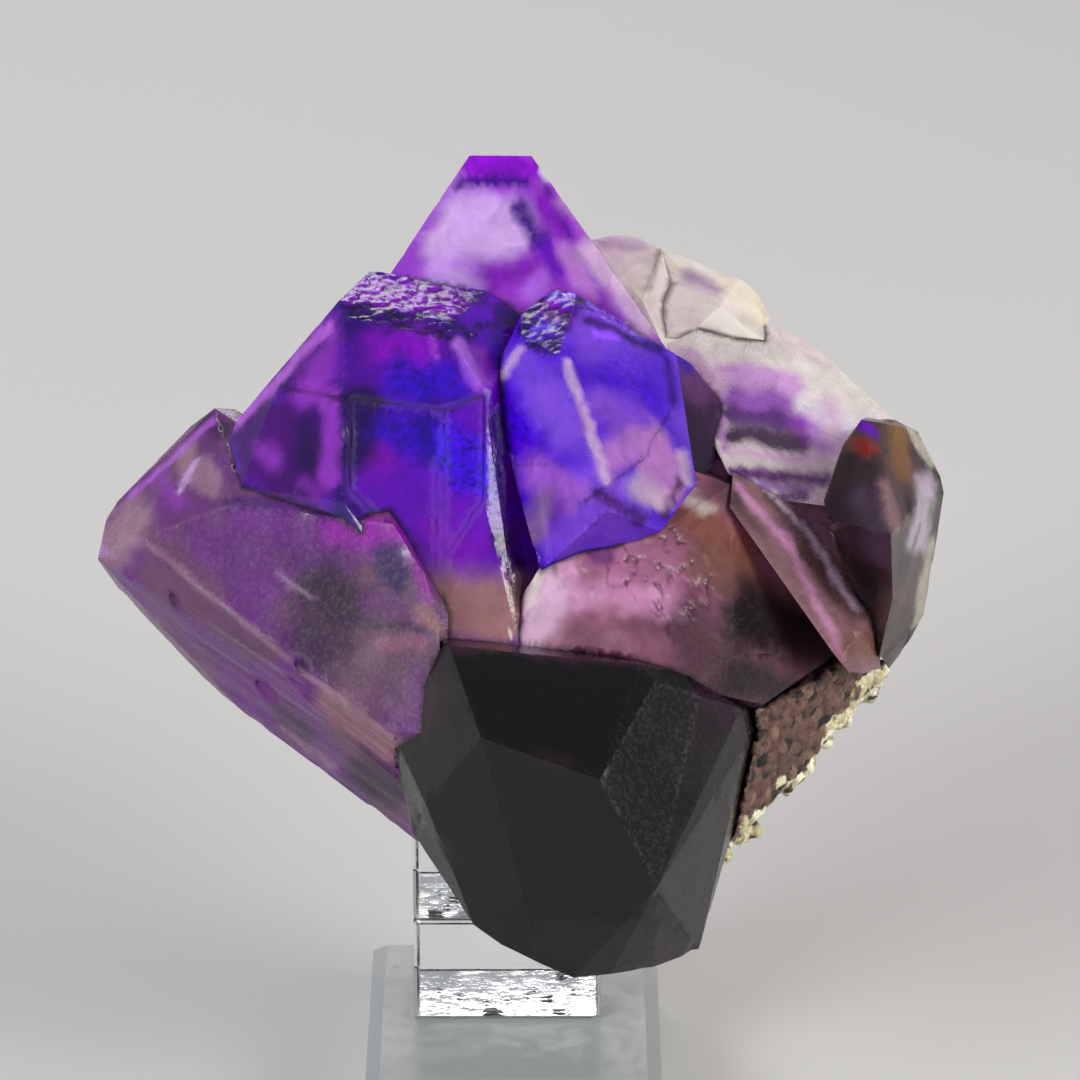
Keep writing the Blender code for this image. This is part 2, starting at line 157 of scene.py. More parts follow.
# The tips with hillocks, as boxes from the seat: their low corners and their high corners.
FINE_TIPS = (
    ((-math.inf, -math.inf, 64.5), (0, 14, math.inf)),
    ((0, -math.inf, 63.5), (math.inf, 11, math.inf)),
)
HILLOCKS = 900  # seeds strewn round the tips
HILLOCK_SHAPE = np.array([1, 1.6, 1])  # how many times narrower than long they are, along each axis
HILLOCK_SIDE = 0.55  # width of the slope round each

# The rose body's etched patch lies round this line from the seat. It is full up to the first of these
# distances from the line, and gone at the second.
ETCHED_PATCH = ((13.5, -19.5, 40.8), (22, -16.5, 40))
ETCHED_REACH = (5.5, 8)
ETCHED_LUMPS = 0.25  # height of its lumps
ETCHED_GROOVES = 0.22  # depth of its grooves
EVENING_ROUNDS = 60  # how often the solid's own low lumps there are evened out

ETCHING = 0.16  # height of the lumps on a fully etched face
CHIP_LENGTH = 2.6
CHIP_REACH = (0.2, 1.1)  # a chip is full up to the first distance from its edge, and gone at the second

# Each crystal: a place inside it from the seat, its tint, a second tint that clouds it, its roughness,
# and how etched its faces are.
CRYSTALS = {
    "tower": ((-13, 7, 50), "violet", "deep_violet", 0.14, 0.1),
    "summit": ((2, 28, 65), "orchid", "lilac", 0.16, 0.06),
    "blue_point": ((13, 0, 52), "blue_violet", "periwinkle", 0.14, 0.06),
    "left_wing": ((-33, 1, 25), "mauve", "mauve_grey", 0.2, 0.15),
    # The front point's tint is dark smoky quartz, darkened further as painted shade.
    "front_point": ((11, -32, 12), "near_black", "near_black", 0.2, 0.12),
    "rose_body": ((28, -2, 28), "dusty_rose", "plum_rose", 0.28, 0.35),
    "violet_step": ((24, 15, 47), "plum", "plum_violet", 0.2, 0.06),
    "pale_shoulder": ((17, 37, 58), "ivory", "pale_pink", 0.3, 0.2),
    "pale_ridge": ((28, 37, 55), "cream", "ivory", 0.3, 0.2),
    "pale_face": ((39, 24, 44), "ivory", "pale_pink", 0.24, 0.1),
    "heart": ((38, 18, 33), "plum", "dusty_rose", 0.3, 0.2),
    "bar_prism": ((42, 1, 29), "grey_pink", "taupe", 0.2, 0.12),
    "smoky_point": ((51, 4, 35), "umber", "taupe", 0.14, 0.06),
    "back_left_point": ((-22, 32, 31), "mauve", "orchid", 0.24, 0.15),
    "back_top_point": ((2, 41, 44), "orchid", "lilac", 0.2, 0.12),
    "back_right_point": ((33, 37, 28), "pale_mauve", "pale_pink", 0.26, 0.15),
    "back_low_point": ((-5, 42, 20), "mauve", "pale_mauve", 0.3, 0.2),
    "root": ((4, 16, 11), "mauve_grey", "dusty_beige", 0.4, 0.6),
}

# Colour zones of the display side, laid over each other in this order: tint, the two ends of the zone's
# middle line (x, v), half its width, how softly it fades, and its strength.
ZONES = {
    "summit": (
        ("orchid", (-14.5, 111), (-12, 113), 2.1, 1.6, 0.8),
        ("frosted_lilac", (-6, 115.5), (-1, 115.5), 4.5, 1.4, 1),
        ("frosted_lilac", (-10, 113), (-8, 113), 2.1, 1.1, 1),
        ("frosted_lilac", (-10, 109.5), (-6, 108), 1.7, 1.2, 0.7),
        ("magenta_violet", (-3, 109), (1, 109.5), 2, 1.4, 0.6),
        ("lilac", (2, 106.5), (4, 108.5), 1.3, 1, 0.8),
        ("bright_violet", (-5.5, 124), (1.5, 124), 1.7, 0.5, 1),
        ("deep_violet", (-7.5, 121), (-3, 121.5), 0.8, 0.5, 0.9),
        ("deep_violet", (-3, 122), (1, 122), 0.9, 0.5, 0.9),
        ("deep_violet", (1, 118.5), (4, 113), 1.1, 0.8, 0.95),
        ("violet", (4.5, 113), (6, 109), 1, 0.8, 0.8),
        ("magenta_violet", (4, 119), (7.5, 113), 1.2, 0.8, 0.8),
        ("deep_violet", (3, 124), (7.5, 114.5), 0.4, 0.4, 0.7),
        ("violet", (7.5, 114), (11.5, 106.5), 0.4, 0.4, 0.7),
        ("pink_lilac", (7, 112.5), (10, 106.5), 1.2, 0.8, 0.9),
        ("pale_pink", (10.5, 112), (18, 102), 1.8, 1.1, 0.9),
        ("pale_mauve", (6.5, 118.5), (12, 114), 0.9, 0.7, 0.7),
        ("white", (3.5, 123.5), (4.5, 122), 0.7, 0.3, 0.8),
    ),
    "tower": (
        ("plum_violet", (-32, 87), (-29, 83), 5.9, 1.8, 0.9),
        ("bright_violet", (-21.5, 107), (-6.5, 105), 2.2, 0.5, 1),
        ("deep_violet", (-4.5, 105.5), (-3, 107), 1.2, 0.8, 0.8),
        ("deep_violet", (-22, 103), (-11, 101), 0.9, 0.5, 0.85),
        ("deep_violet", (-8.5, 101), (-5, 102), 1.2, 0.7, 0.85),
        ("mid_violet", (-4, 102.5), (-1.5, 99), 2.2, 1.4, 0.9),
        ("orchid", (-4.5, 98.5), (-3.5, 94), 0.9, 0.7, 0.6),
        # A painted highlight: the bright line along the tower's front right ridge.
        ("lilac", (-7, 99), (-4.5, 94), 0.9, 0.7, 0.95),
        ("lilac", (-10.5, 100), (-9.5, 96.5), 0.4, 0.4, 0.8),
        ("deep_violet", (-1.5, 104), (0.5, 103), 0.9, 0.5, 0.8),
        ("orchid", (-25, 101), (-26.5, 93.5), 2.6, 1.8, 0.9),
        ("bright_violet", (-17, 99), (-12, 98.5), 2.6, 1.8, 0.8),
        ("indigo", (-14.5, 94.5), (-8, 94), 2.9, 1.6, 0.9),
        ("deep_violet", (-20, 97.5), (-18.5, 94.5), 1.6, 1.2, 0.5),
        ("orchid", (-23.5, 92), (-23.5, 81.5), 1.4, 0.7, 0.95),
        ("night_violet", (-19.5, 91.5), (-19.5, 85), 2.6, 0.6, 0.9),
        ("night_violet", (-21, 84), (-21, 78.5), 1, 0.5, 0.8),
        ("night_violet", (-27.5, 89), (-26.5, 84.5), 1.8, 1.2, 0.8),
        ("orchid", (-33, 86), (-31.5, 84.5), 1.3, 1.1, 0.8),
        ("orchid", (-27, 81), (-25.5, 80), 1.2, 0.9, 0.5),
        ("night_violet", (-30, 94), (-25.5, 99.5), 1.1, 0.7, 0.6),
        ("bright_orchid", (-37, 89.5), (-24, 102), 0.7, 0.4, 1),
        ("indigo", (-14.5, 88), (-10.5, 86.5), 3.1, 1.9, 0.9),
        ("bright_indigo", (-7.5, 85.5), (-5, 82.5), 3.2, 1.7, 0.95),
        ("night_violet", (-11.5, 89), (-10.5, 84), 0.9, 0.8, 0.5),
        ("magenta_violet", (-17.5, 82.5), (-16.5, 84.5), 1.6, 1.2, 0.8),
        ("violet", (-19, 80.5), (-15, 80), 2.3, 1.6, 0.7),
        ("night_violet", (-2, 89.5), (0.5, 71), 1.2, 0.6, 0.85),
        ("night", (-1.5, 74), (1, 68.5), 1.4, 0.9, 0.8),
        ("magenta_violet", (-9.5, 74.5), (-6.5, 72), 2.3, 1.8, 0.6),
        ("dusty_beige", (-8, 66), (-0.5, 65.5), 3.5, 2.6, 1),
        ("warm_beige", (-6.5, 62.5), (-1, 62), 1.9, 1.2, 0.9),
        ("umber", (0.5, 68), (1, 66), 1, 0.8, 0.7),
    ),
    "blue_point": (
        ("periwinkle", (1, 96.5), (5, 93.5), 2.3, 1.4, 0.9),
        ("pale_blue_violet", (4.5, 91.5), (7, 88), 2.6, 1.6, 0.8),
        ("bright_indigo", (-1, 89.5), (1.5, 88), 1.7, 1.3, 0.9),
        ("orchid_light", (3.5, 82.5), (7.5, 80), 2.3, 1.5, 0.85),
        ("grey_lilac", (2.5, 75), (4, 78.5), 1.8, 1.2, 0.85),
        ("violet", (5.5, 76.5), (6, 78), 1, 0.9, 0.6),
        ("bright_violet", (4.5, 104.5), (7, 102.5), 1.3, 0.7, 0.9),
        ("deep_violet", (6.5, 101), (8.5, 105.5), 0.8, 0.5, 0.85),
        ("dark_indigo", (1, 101), (3.5, 105.5), 0.8, 0.5, 0.85),
        ("deep_violet", (2.5, 99), (5.5, 98.5), 0.8, 0.4, 0.9),
        ("frosted_lilac", (-2, 94), (1, 98.5), 0.5, 0.4, 0.95),
        ("periwinkle", (9.5, 101), (10, 98.5), 1.6, 1, 0.8),
        ("bright_indigo", (14, 96), (18, 92), 2.4, 1.6, 0.5),
        ("lilac", (11.5, 91.5), (16.5, 88), 2.3, 1.8, 0.5),
        ("dark_indigo", (10, 102.5), (19.5, 99), 0.7, 0.5, 0.9),
        ("deep_violet", (20.5, 97.5), (21, 92), 0.5, 0.4, 0.8),
        ("pink_lilac", (12.5, 84), (17, 87), 2.1, 1.4, 0.9),
        ("pink_lilac", (18.5, 85.5), (20, 80), 2.6, 0.9, 1),
        ("pale_pink", (16.5, 80.5), (19.5, 78.5), 1.6, 1, 0.9),
        ("plum_violet", (11, 79.5), (16.5, 76.5), 0.9, 0.6, 0.85),
        ("plum", (19.5, 76.5), (22, 81.5), 0.5, 0.4, 0.8),
        ("pale_pink", (22, 85), (23, 81.5), 0.8, 0.5, 0.9),
        # A painted highlight: the bright line along the blue point's ridge.
        ("frosted_lilac", (7, 96.5), (12, 81.5), 0.6, 0.4, 1),
    ),
    "violet_step": (
        ("dim_orchid", (23, 98), (25, 94.5), 2.4, 1.2, 0.9),
        ("indigo", (21.5, 99.5), (23.5, 96.5), 0.7, 0.5, 0.8),
        ("dark_plum", (23.5, 88.5), (25.5, 84), 2.9, 1.2, 0.95),
        ("dim_orchid", (27.5, 90.5), (28, 85.5), 0.4, 0.3, 0.7),
    ),
    "pale_shoulder": (
        ("grey_lilac", (12, 115), (18, 114), 0.7, 0.5, 0.5),
        ("warm_cream", (17, 108.5), (17.5, 107), 1.1, 0.8, 0.8),
    ),
    "pale_ridge": (
        ("grey_lilac", (24, 110), (27.5, 108), 1.2, 1, 0.8),
        ("warm_cream", (29.5, 109), (34.5, 104), 1.6, 1.1, 0.8),
    ),
    "pale_face": (
        ("white", (26, 100), (46, 90), 3.2, 2.2, 0.9),
        ("cream", (24, 102.5), (47, 93.5), 2.4, 1.5, 1),
        ("pale_mauve", (24, 98.5), (27.5, 92), 1.6, 1.1, 0.8),
        ("pink_lilac", (29, 96.5), (37.5, 95), 1.6, 1.1, 0.8),
        ("magenta_violet", (30, 93), (36.5, 92), 1.8, 1.1, 0.85),
        ("plum_violet", (30, 90.5), (38.5, 89.5), 1.5, 0.8, 0.95),
        ("dark_plum", (29.5, 88), (39, 87), 1.3, 0.6, 0.95),
        ("orchid", (39, 90), (42, 86.5), 1.5, 1.2, 0.7),
        ("pale_pink", (43, 92), (44, 86), 1.6, 1.2, 0.8),
        ("pink_lilac", (28, 91), (28.2, 85.5), 0.35, 0.3, 0.95),
        ("rose_white", (28.2, 85.5), (41, 84.5), 0.45, 0.3, 0.95),
        ("violet_dim", (29.5, 82.8), (41.5, 81.8), 0.9, 0.5, 0.95),
        ("orchid", (30, 81.2), (40, 80.6), 0.4, 0.3, 0.7),
        ("violet_dim", (31, 79.8), (39, 79.4), 0.7, 0.5, 0.9),
    ),
    "heart": (("dusty_beige", (36.5, 77.5), (42, 76.5), 2, 0.8, 0.9),),
    "bar_prism": (
        ("taupe", (32, 80), (44, 66), 3.4, 1.1, 0.8),
        ("grey_pink", (31, 80), (43.5, 61), 1.5, 0.5, 0.9),
        ("rose", (29.3, 81), (36.5, 73), 0.5, 0.4, 0.9),
        ("rose", (36.5, 73), (42.9, 59), 0.5, 0.4, 0.9),
        ("pale_pink", (33, 81.5), (38.8, 75), 0.45, 0.3, 0.8),
        ("pale_pink", (38.8, 75), (45, 64.8), 0.45, 0.3, 0.8),
        ("umber", (34, 81), (40, 74.5), 0.4, 0.3, 0.7),
        ("mauve_grey", (37, 79), (47, 67.5), 0.9, 0.6, 0.8),
        ("tan", (44.5, 60), (51, 59.5), 2, 1, 0.8),
        ("warm_beige", (47.5, 62), (50, 61.5), 0.6, 0.4, 0.7),
    ),
    "rose_body": (
        ("rose_white", (5, 67.5), (2.5, 62), 2.7, 1.4, 1),
        ("rose", (7, 71), (8.5, 66), 1.3, 0.9, 0.85),
        ("cream", (4.5, 71), (2, 65.5), 0.5, 0.4, 0.8),
        ("rose_mauve", (13, 73), (19, 68.5), 3.9, 1.7, 0.9),
        ("dim_orchid", (10.5, 74.5), (11.5, 72.5), 1.5, 1, 0.8),
        ("rose", (11.5, 67), (19, 66), 2.2, 1.5, 0.7),
        ("terracotta", (24, 76.5), (30, 72), 2.9, 2, 0.9),
        ("tan", (25.5, 71), (34, 67), 2.6, 1.7, 0.85),
        ("cream", (23, 79.5), (25.5, 78), 1.1, 0.7, 0.6),
        ("dusty_rose", (14, 60.5), (19, 59.5), 2.6, 1.7, 0.7),
        ("plum_rose", (23, 62), (27, 55), 2.9, 2.1, 0.9),
        ("umber", (31, 64), (40, 60.5), 4.4, 2.6, 1),
        ("umber", (29, 56), (36, 53.5), 3, 2, 0.95),
        ("mauve", (20, 55), (23, 53), 1.8, 1.3, 0.7),
    ),
    "left_wing": (
        ("mauve_violet", (-35.5, 76.5), (-23.5, 75), 2.9, 2, 0.9),
        ("magenta", (-22, 75), (-15.5, 73.5), 2.5, 1.6, 0.95),
        ("violet_dim", (-27.5, 71.5), (-22, 71), 2.3, 1.6, 0.8),
        ("dark_plum", (-25, 67), (-21, 64.5), 3.5, 2.2, 0.95),
        ("dark_plum", (-26, 60.5), (-23, 59), 2.9, 2.1, 0.8),
        ("mauve_grey", (-20.5, 55.5), (-15.5, 53), 3.1, 1.9, 0.6),
        ("night_violet", (-16, 71.5), (-15, 68.5), 2.2, 0.9, 0.9),
        ("dim_orchid", (-18.5, 66), (-13, 64), 1.7, 1.2, 0.7),
        ("magenta", (-12.5, 71), (-10.5, 66), 0.8, 0.6, 0.7),
        ("dusty_beige", (-11.5, 64.5), (-9.5, 62), 1, 0.8, 0.8),
        ("dusty_rose", (-17, 60.5), (-12, 60.5), 1, 0.8, 0.6),
        ("plum_violet", (-37, 79), (-21, 77), 0.8, 0.5, 0.8),
        ("plum", (-41.5, 89.5), (-38.5, 88.5), 1.6, 0.9, 0.9),
        ("pale_grey_pink", (-44, 85), (-40, 81), 1.7, 0.7, 0.9),
        ("orchid", (-47.5, 82), (-45, 79), 1.3, 1.1, 0.5),
        ("pale_grey_pink", (-54, 73), (-51, 76.5), 2.8, 1.6, 0.9),
        ("mauve_grey", (-48, 73.5), (-40, 67), 2, 1.3, 0.8),
        ("mauve_grey", (-48.5, 69), (-33, 59), 2, 1.2, 0.85),
        ("mauve", (-36.5, 52), (-33.5, 55), 2.8, 1.6, 0.6),
        ("grey_pink", (-24, 52.5), (-16, 46.5), 1.7, 1, 0.9),
        ("dark_plum", (-20, 43), (-15.5, 40.5), 2.5, 1.6, 0.9),
        ("dark_plum", (-31, 50.5), (-28, 48.5), 1.5, 1.1, 0.6),
        ("mauve_grey", (-52, 65.5), (-39.5, 53), 0.8, 0.7, 0.7),
        ("pale_grey_pink", (-31, 48.5), (-24, 43.5), 0.5, 0.4, 0.7),
        ("pale_grey_pink", (-48.5, 73), (-29, 58), 0.4, 0.3, 0.7),
        ("pale_grey_pink", (-28, 57), (-15, 48), 0.4, 0.3, 0.7),
        ("frosted_lilac", (-44.5, 80.5), (-42.5, 84.5), 0.4, 0.3, 0.9),
        ("bright_orchid", (-52, 79.5), (-40.5, 90), 0.4, 0.3, 0.8),
    ),
    "front_point": (
        ("dim_plum_rose", (-7.5, 60.5), (16.5, 58.5), 0.9, 0.5, 0.9),
        ("dim_plum_rose", (-12.5, 50.5), (-11, 54.5), 2.8, 1.4, 0.7),
        ("smoke_grey", (24, 45.5), (26.5, 50.5), 3.5, 1.9, 0.9),
        ("smoke_grey", (6, 22.5), (18, 21), 3.4, 1.4, 0.9),
        ("dim_plum_rose", (3.5, 47), (7, 46), 0.6, 0.5, 0.5),
        ("dim_plum_rose", (24.5, 54.5), (29, 50.5), 1.3, 0.9, 0.8),
    ),
    "smoky_point": (
        ("umber", (44.5, 83), (43.5, 76), 3.3, 1.1, 0.9),
        ("grey_violet", (48, 73.5), (47, 78.5), 2.3, 1.6, 0.8),
        ("amber", (51, 88), (51.5, 83), 1.6, 0.8, 0.95),
        ("taupe", (51, 65.5), (54.5, 68), 2.4, 1.3, 0.8),
        ("grey_pink", (49, 80), (50, 76), 1.2, 0.8, 0.9),
        ("frost", (53.5, 88.5), (56.5, 84.5), 0.9, 0.5, 0.9),
        ("frost_lilac", (55, 81.5), (53.5, 73.5), 1.6, 0.8, 0.95),
        ("frost", (56, 73.5), (54, 63), 0.8, 0.5, 0.7),
        ("violet", (46.5, 89), (47.5, 88), 0.8, 0.4, 0.9),
        ("red_amber", (46, 86.5), (47, 85.5), 0.9, 0.5, 0.95),
    ),
}

# Healed cracks and dark growth lines: tint, half width, strength, and the line's points (x, v).
CRACKS = {
    "tower": (
        ("night", 0.28, 0.9, ((-30.5, 94), (-24, 92.5), (-15.5, 91.5), (-8, 90.5), (-4, 92.5))),
        ("night", 0.2, 0.8, ((-15.5, 91.5), (-10, 91.5), (-4, 92.5))),
    ),
    "blue_point": (
        ("night_violet", 0.12, 0.5, ((2.5, 84), (4.5, 87))),
        ("night_violet", 0.12, 0.5, ((0.5, 83.5), (4.5, 83.5))),
        ("night", 0.15, 0.7, ((21, 91.5), (18, 86.5), (17.5, 84.5), (12.5, 81), (7.5, 77.5))),
    ),
    "pale_shoulder": (("taupe", 0.3, 0.8, ((20, 113), (18.5, 108))),),
    "pale_face": (
        ("taupe", 0.3, 0.75, ((20.5, 101), (22, 103.5), (25.5, 102.5), (31.5, 101.5), (34.5, 101))),
    ),
    "rose_body": (("night", 0.3, 0.6, ((8, 76.5), (10, 72))),),
    "left_wing": (
        ("night", 0.4, 0.9, ((-17.5, 62.5), (-14.5, 63), (-11, 62))),
        ("night", 0.4, 0.8, ((-45.5, 66.5), (-45, 65.5))),
        ("night", 0.4, 0.8, ((-28, 57.5), (-27, 57))),
        ("pale_pink", 0.25, 0.5, ((-31, 69.5), (-25.5, 66))),
    ),
    "smoky_point": (("night", 0.25, 0.8, ((54, 76), (51.5, 69))),),
}

# Striated faces: crystal, the direction of its lines, and the way the faces look.
STRIATED = {
    "left_wing": ((0.70, -0.67, -0.24), (-0.68, -0.67, -0.25)),
    "bar_prism": ((0.55, -0.55, -0.63), (-0.2, -0.9, 0.4)),
    "back_top_point": ((0.1, 0.5, 0.86), (0, 1, 0)),
}
STRIATION_SPACING = 1.5
STRIATION_HEIGHT = 0.12
STRIATION_DRIFT = 0.04  # how fast a line changes along its length, against how fast across it

# How dark the painted shade is in a seam between crystals and at a hillock's border, how dark the painted
# shade in an etched groove is, and how much rougher a ledge is than its crystal.
SEAM_SHADE = 0.85
HILLOCK_BORDER_SHADE = 0.8
GROOVE_SHADE = 0.85
LEDGE_ROUGHNESS = 0.6
LEDGE_REACH = (0.3, 1.1)  # it is full up to the first distance from a ledge, and gone at the second
WEAR_HIGHLIGHT_REACH = (0.1, 0.9)  # the same for the wear of a sharp edge and its painted highlight

# Sizes of the patterns in the quartz: its clouds, how far apart a zone's border wanders and is ragged,
# and the most that each of these moves a border. A crack's line only wanders.
CLOUD_SIZE = 11
WANDER_SIZE = 3.2
RAGGED_SIZE = 1.3
MOST_WANDER = 1.1
MOST_RAGGED = 0.6
CRACK_WANDER = 0.25

PURER = 1.13  # how much purer than its tint the quartz is made
DARKER = 1.12  # the power that then darkens it

# The matrix crust. The rim is the bright rock along its outer edge, as a line on the display plane.
RIM_LINE = ((51, 58), (41, 43), (27, 29))
RIM_BAND = 2.2  # how far the bright rock reaches in from it
RIM_RAGGED = 1.2  # how much farther or less far it reaches here and there
RIM_BACK = 4  # the rock this far behind the seat, or farther, is bright as well
RIM_TINTS = ((206, 200, 168), (184, 176, 140), (226, 222, 200), (150, 140, 108), (60, 52, 44))
INNER_TINTS = ((92, 66, 58), (104, 76, 66), (82, 58, 54), (20, 15, 17), (122, 94, 80))
GRAIN_SHARES = (0.32, 0.26, 0.18, 0.16, 0.08)  # how common each tint is
GRAIN_SIZES = (0.5, 1.7)  # smallest and largest against the middle size, before they are spread out
GRAIN_TILT = 0.35  # how far the grains' tops slope
GRAIN_SIDE = 0.7  # how steeply a grain falls away from its middle
GRAIN_HEIGHTS = (-0.4, 1.1)  # lowest and highest
GRAIN_RELIEF = 0.6  # share of that height that is raised
CRUST_LUMPS = 0.3  # height of the lumps under the grains
CRUST_SINK = 0.35  # how far the whole crust is lowered, so that its grains end near the solid's faces

# The acrylic and the bubbles of old glue in the bottom of each riser.
HANDLING_MARKS = (0.82, 0.86, 0.88, 1)
GLUE_SPOTS = 18  # in each riser
GLUE_SIZES = (0.25, 1.5)  # half their length
GLUE_DEPTH = 0.1  # half their height
GLUE_BORDER = 2  # how far from the riser's sides they stay
GLUE_INSET = 0.3  # how far above its underside they are set
GLUE_COLOR = (0.05, 0.055, 0.06, 1)

QUARTZ_IOR = 1.544
QUARTZ_SHEEN = 0.12  # how much of its mirror sheen the quartz keeps, under its etched skin
ACRYLIC_IOR = 1.49

# Each of these multiplies the colour under it.
DARK_FLECK = (0.25, 0.18, 0.36, 1)
LIGHT_FLECK = (2.2, 2.6, 1.4, 1)
# The worn-edge colour lightens the sharp edges: partly wear, partly a painted highlight.
WORN_EDGE_HIGHLIGHT = (1.7, 1.9, 1.5, 1)

# Each light: its place and its two sizes in metres, its power in watts and its colour.
LIGHTS = {
    "key_light": ((-0.8, -0.6, 0.5), (0.5, 0.5), 12, (1, 1, 1)),
    "fill_light": ((0.8, -0.35, 0.5), (0.5, 0.4), 9, (1, 0.97, 0.92)),
    "back_light": ((-0.15, 0.7, 0.62), (0.5, 0.3), 2.8, (1, 0.96, 0.98)),
}
LIGHTS_AIM = (0, 0, 0.07)
SKY_COLOR = (0.9, 0.92, 0.95, 1)
SKY_STRENGTH = 0.36
FLOOR_SIZE = 4  # metres from its middle to its sides

# The camera looks down at the middle of the piece by the display side's elevation. In metres.
CAMERA_PLACE = (0.00356, -0.5638, 0.3443)
CAMERA_AIM = (0.00356, 0.02529, 0.06959)
CAMERA_SENSOR = 36  # millimetres
CAMERA_LENS = 158.2  # millimetres


class CrystalSettings(bpy.types.PropertyGroup):
    display_facet: bpy.props.FloatProperty(
        name="Display facet", description="Size of the mesh's triangles on the display side",
        default=1.15 * MM, min=0.2 * MM, subtype="DISTANCE", unit="LENGTH",
    )
    back_facet: bpy.props.FloatProperty(
        name="Back facet", description="Size of the mesh's triangles on the hidden sides",
        default=2.4 * MM, min=0.2 * MM, subtype="DISTANCE", unit="LENGTH",
    )
    undulation: bpy.props.FloatProperty(
        name="Undulation", description="How far the crystal faces depart from flat",
        default=0.09 * MM, subtype="DISTANCE", unit="LENGTH",
    )
    hillock: bpy.props.FloatProperty(
        name="Hillock", description="Height of the growth hillocks on the tips",
        default=0.28 * MM, subtype="DISTANCE", unit="LENGTH",
    )
    wear: bpy.props.FloatProperty(
        name="Edge wear", description="How deep the chips in the sharp edges are",
        default=0.3 * MM, min=0, subtype="DISTANCE", unit="LENGTH",
    )
    body_color: bpy.props.FloatVectorProperty(
        name="Body colour", description="What light keeps as it crosses the quartz",
        default=(0.80, 0.62, 0.95), size=3, min=0, max=1, subtype="COLOR",
    )
    body_density: bpy.props.FloatProperty(
        name="Body density", description="How strongly the quartz tints light, per metre",
        default=10.0, min=0,
    )
    clarity: bpy.props.FloatProperty(
        name="Clarity", description="Share of light that passes into the quartz",
        default=0.55, min=0.5, max=1, subtype="FACTOR",
    )


class CrustSettings(bpy.types.PropertyGroup):
    facet: bpy.props.FloatProperty(
        name="Facet", description="Size of the crust mesh's triangles",
        default=0.32 * MM, min=0.2 * MM, subtype="DISTANCE", unit="LENGTH",
    )
    grain: bpy.props.FloatProperty(
        name="Grain", description="Middle size of the rock's grains",
        default=0.6 * MM, subtype="DISTANCE", unit="LENGTH",
    )
    grain_count: bpy.props.IntProperty(
        name="Grains", description="How many grains cover the crust", default=4200, min=1,
    )


class StandSettings(bpy.types.PropertyGroup):
    block_color: bpy.props.FloatVectorProperty(
        name="Block colour", description="Colour of the clear blocks",
        default=(0.96, 0.98, 0.99), size=3, min=0, max=1, subtype="COLOR",
    )
    plate_color: bpy.props.FloatVectorProperty(
        name="Plate colour", description="Colour of the frosted base plate",
        default=(0.62, 0.66, 0.67), size=3, min=0, max=1, subtype="COLOR",
    )


class StageSettings(bpy.types.PropertyGroup):
    floor_color: bpy.props.FloatVectorProperty(
        name="Floor colour", description="Colour of the floor",
        default=(0.5, 0.495, 0.49), size=3, min=0, max=1, subtype="COLOR",
    )
    light: bpy.props.FloatProperty(
        name="Light", description="Overall strength of the studio lights", default=1.0, min=0,
    )


# Vector tools: points are rows of a numpy array, in millimetres.


def cell_values(cells, seed):
    """A fixed number from 0 to 1 for each whole-number cell. Large odd factors scatter its bits."""
    mixed = cells.astype(np.int64).astype(np.uint32)
    value = mixed[:, 0] * np.uint32(73856093) ^ mixed[:, 1] * np.uint32(19349663)
    value ^= mixed[:, 2] * np.uint32(83492791) ^ np.uint32(seed * 7919 + 1)
    value ^= value >> np.uint32(13)
    value = value * np.uint32(1274126177)
    value ^= value >> np.uint32(16)
    return value.astype(float) / 2**32


def noise(points, size, seed=0):
    """Smooth noise from -1 to 1 whose lumps are about this many millimetres."""
    scaled = points / size
    cell = np.floor(scaled)
    part = scaled - cell
    part = part * part * (3 - 2 * part)
    total = np.zeros(len(points))
    for corner in itertools.product((0, 1), repeat=3):
        weight = np.prod(np.where(corner, part, 1 - part), axis=1)
        total += weight * cell_values(cell + corner, seed)
    return total * 2 - 1


def cloud(points, size, seed=0):
    """Noise with two finer layers on it."""
    coarse, middle, fine = (noise(points, size / 2**n, seed + n) for n in range(3))
    return coarse * 0.57 + middle * 0.29 + fine * 0.14


def smooth_step(value, low, high):
    """From 0 at low to 1 at high, smoothly."""
    part = np.clip((value - low) / (high - low), 0, 1)
    return part * part * (3 - 2 * part)


def distance_to_line(places, start, end):
    start, run = np.array(start), np.array(end) - np.array(start)
    along = np.clip((places - start) @ run / max(run @ run, 1e-9), 0, 1)
    return np.linalg.norm(places - start - along[:, None] * run, axis=1)


def distance_to_lines(places, lines):
    """How far each place is from the nearest of these lines, each given by its two ends."""
    return np.min([distance_to_line(places, *ends) for ends in lines], axis=0)


def on_display_plane(points):
    return np.stack([points[:, 0], points @ DISPLAY_UP], axis=1)


def linear(color):
    """A colour out of 255 as linear light."""
    share = np.array(color, float) / 255
    return np.where(share > 0.04045, ((share + 0.055) / 1.055) ** 2.4, share / 12.92)


def deepen(color):
    """The same colour, purer and darker: the light that crosses the quartz makes it paler again."""
    grey = color.mean(axis=1, keepdims=True)
    return np.clip(grey + (color - grey) * PURER, 0.001, 1) ** DARKER


# Mesh tools.


def new_object(name, data):
    made = bpy.data.objects.new(name, data)
    bpy.context.scene.collection.objects.link(made)
    return made


def object_from(bm, name):
    """A new object with this bmesh, which it frees. Its faces are put in the same order in every run."""
    bm.verts.index_update()
    count = len(bm.verts)

    def rank(face):
        numbers = sorted(vert.index for vert in face.verts)
        return sum(number * count**place for place, number in enumerate(numbers))

    bm.faces.sort(key=rank)
    mesh = bpy.data.meshes.new(name)
    bm.to_mesh(mesh)
    bm.free()
    return new_object(name, mesh)


def solid_copy(node):
    """The node's solid as a bmesh with its corners joined and its flat faces whole."""
    bm = bmesh.new()
    bm.from_mesh(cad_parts[node].data)
    bmesh.ops.remove_doubles(bm, verts=bm.verts, dist=1e-6)
    bm.normal_update()
    return bm


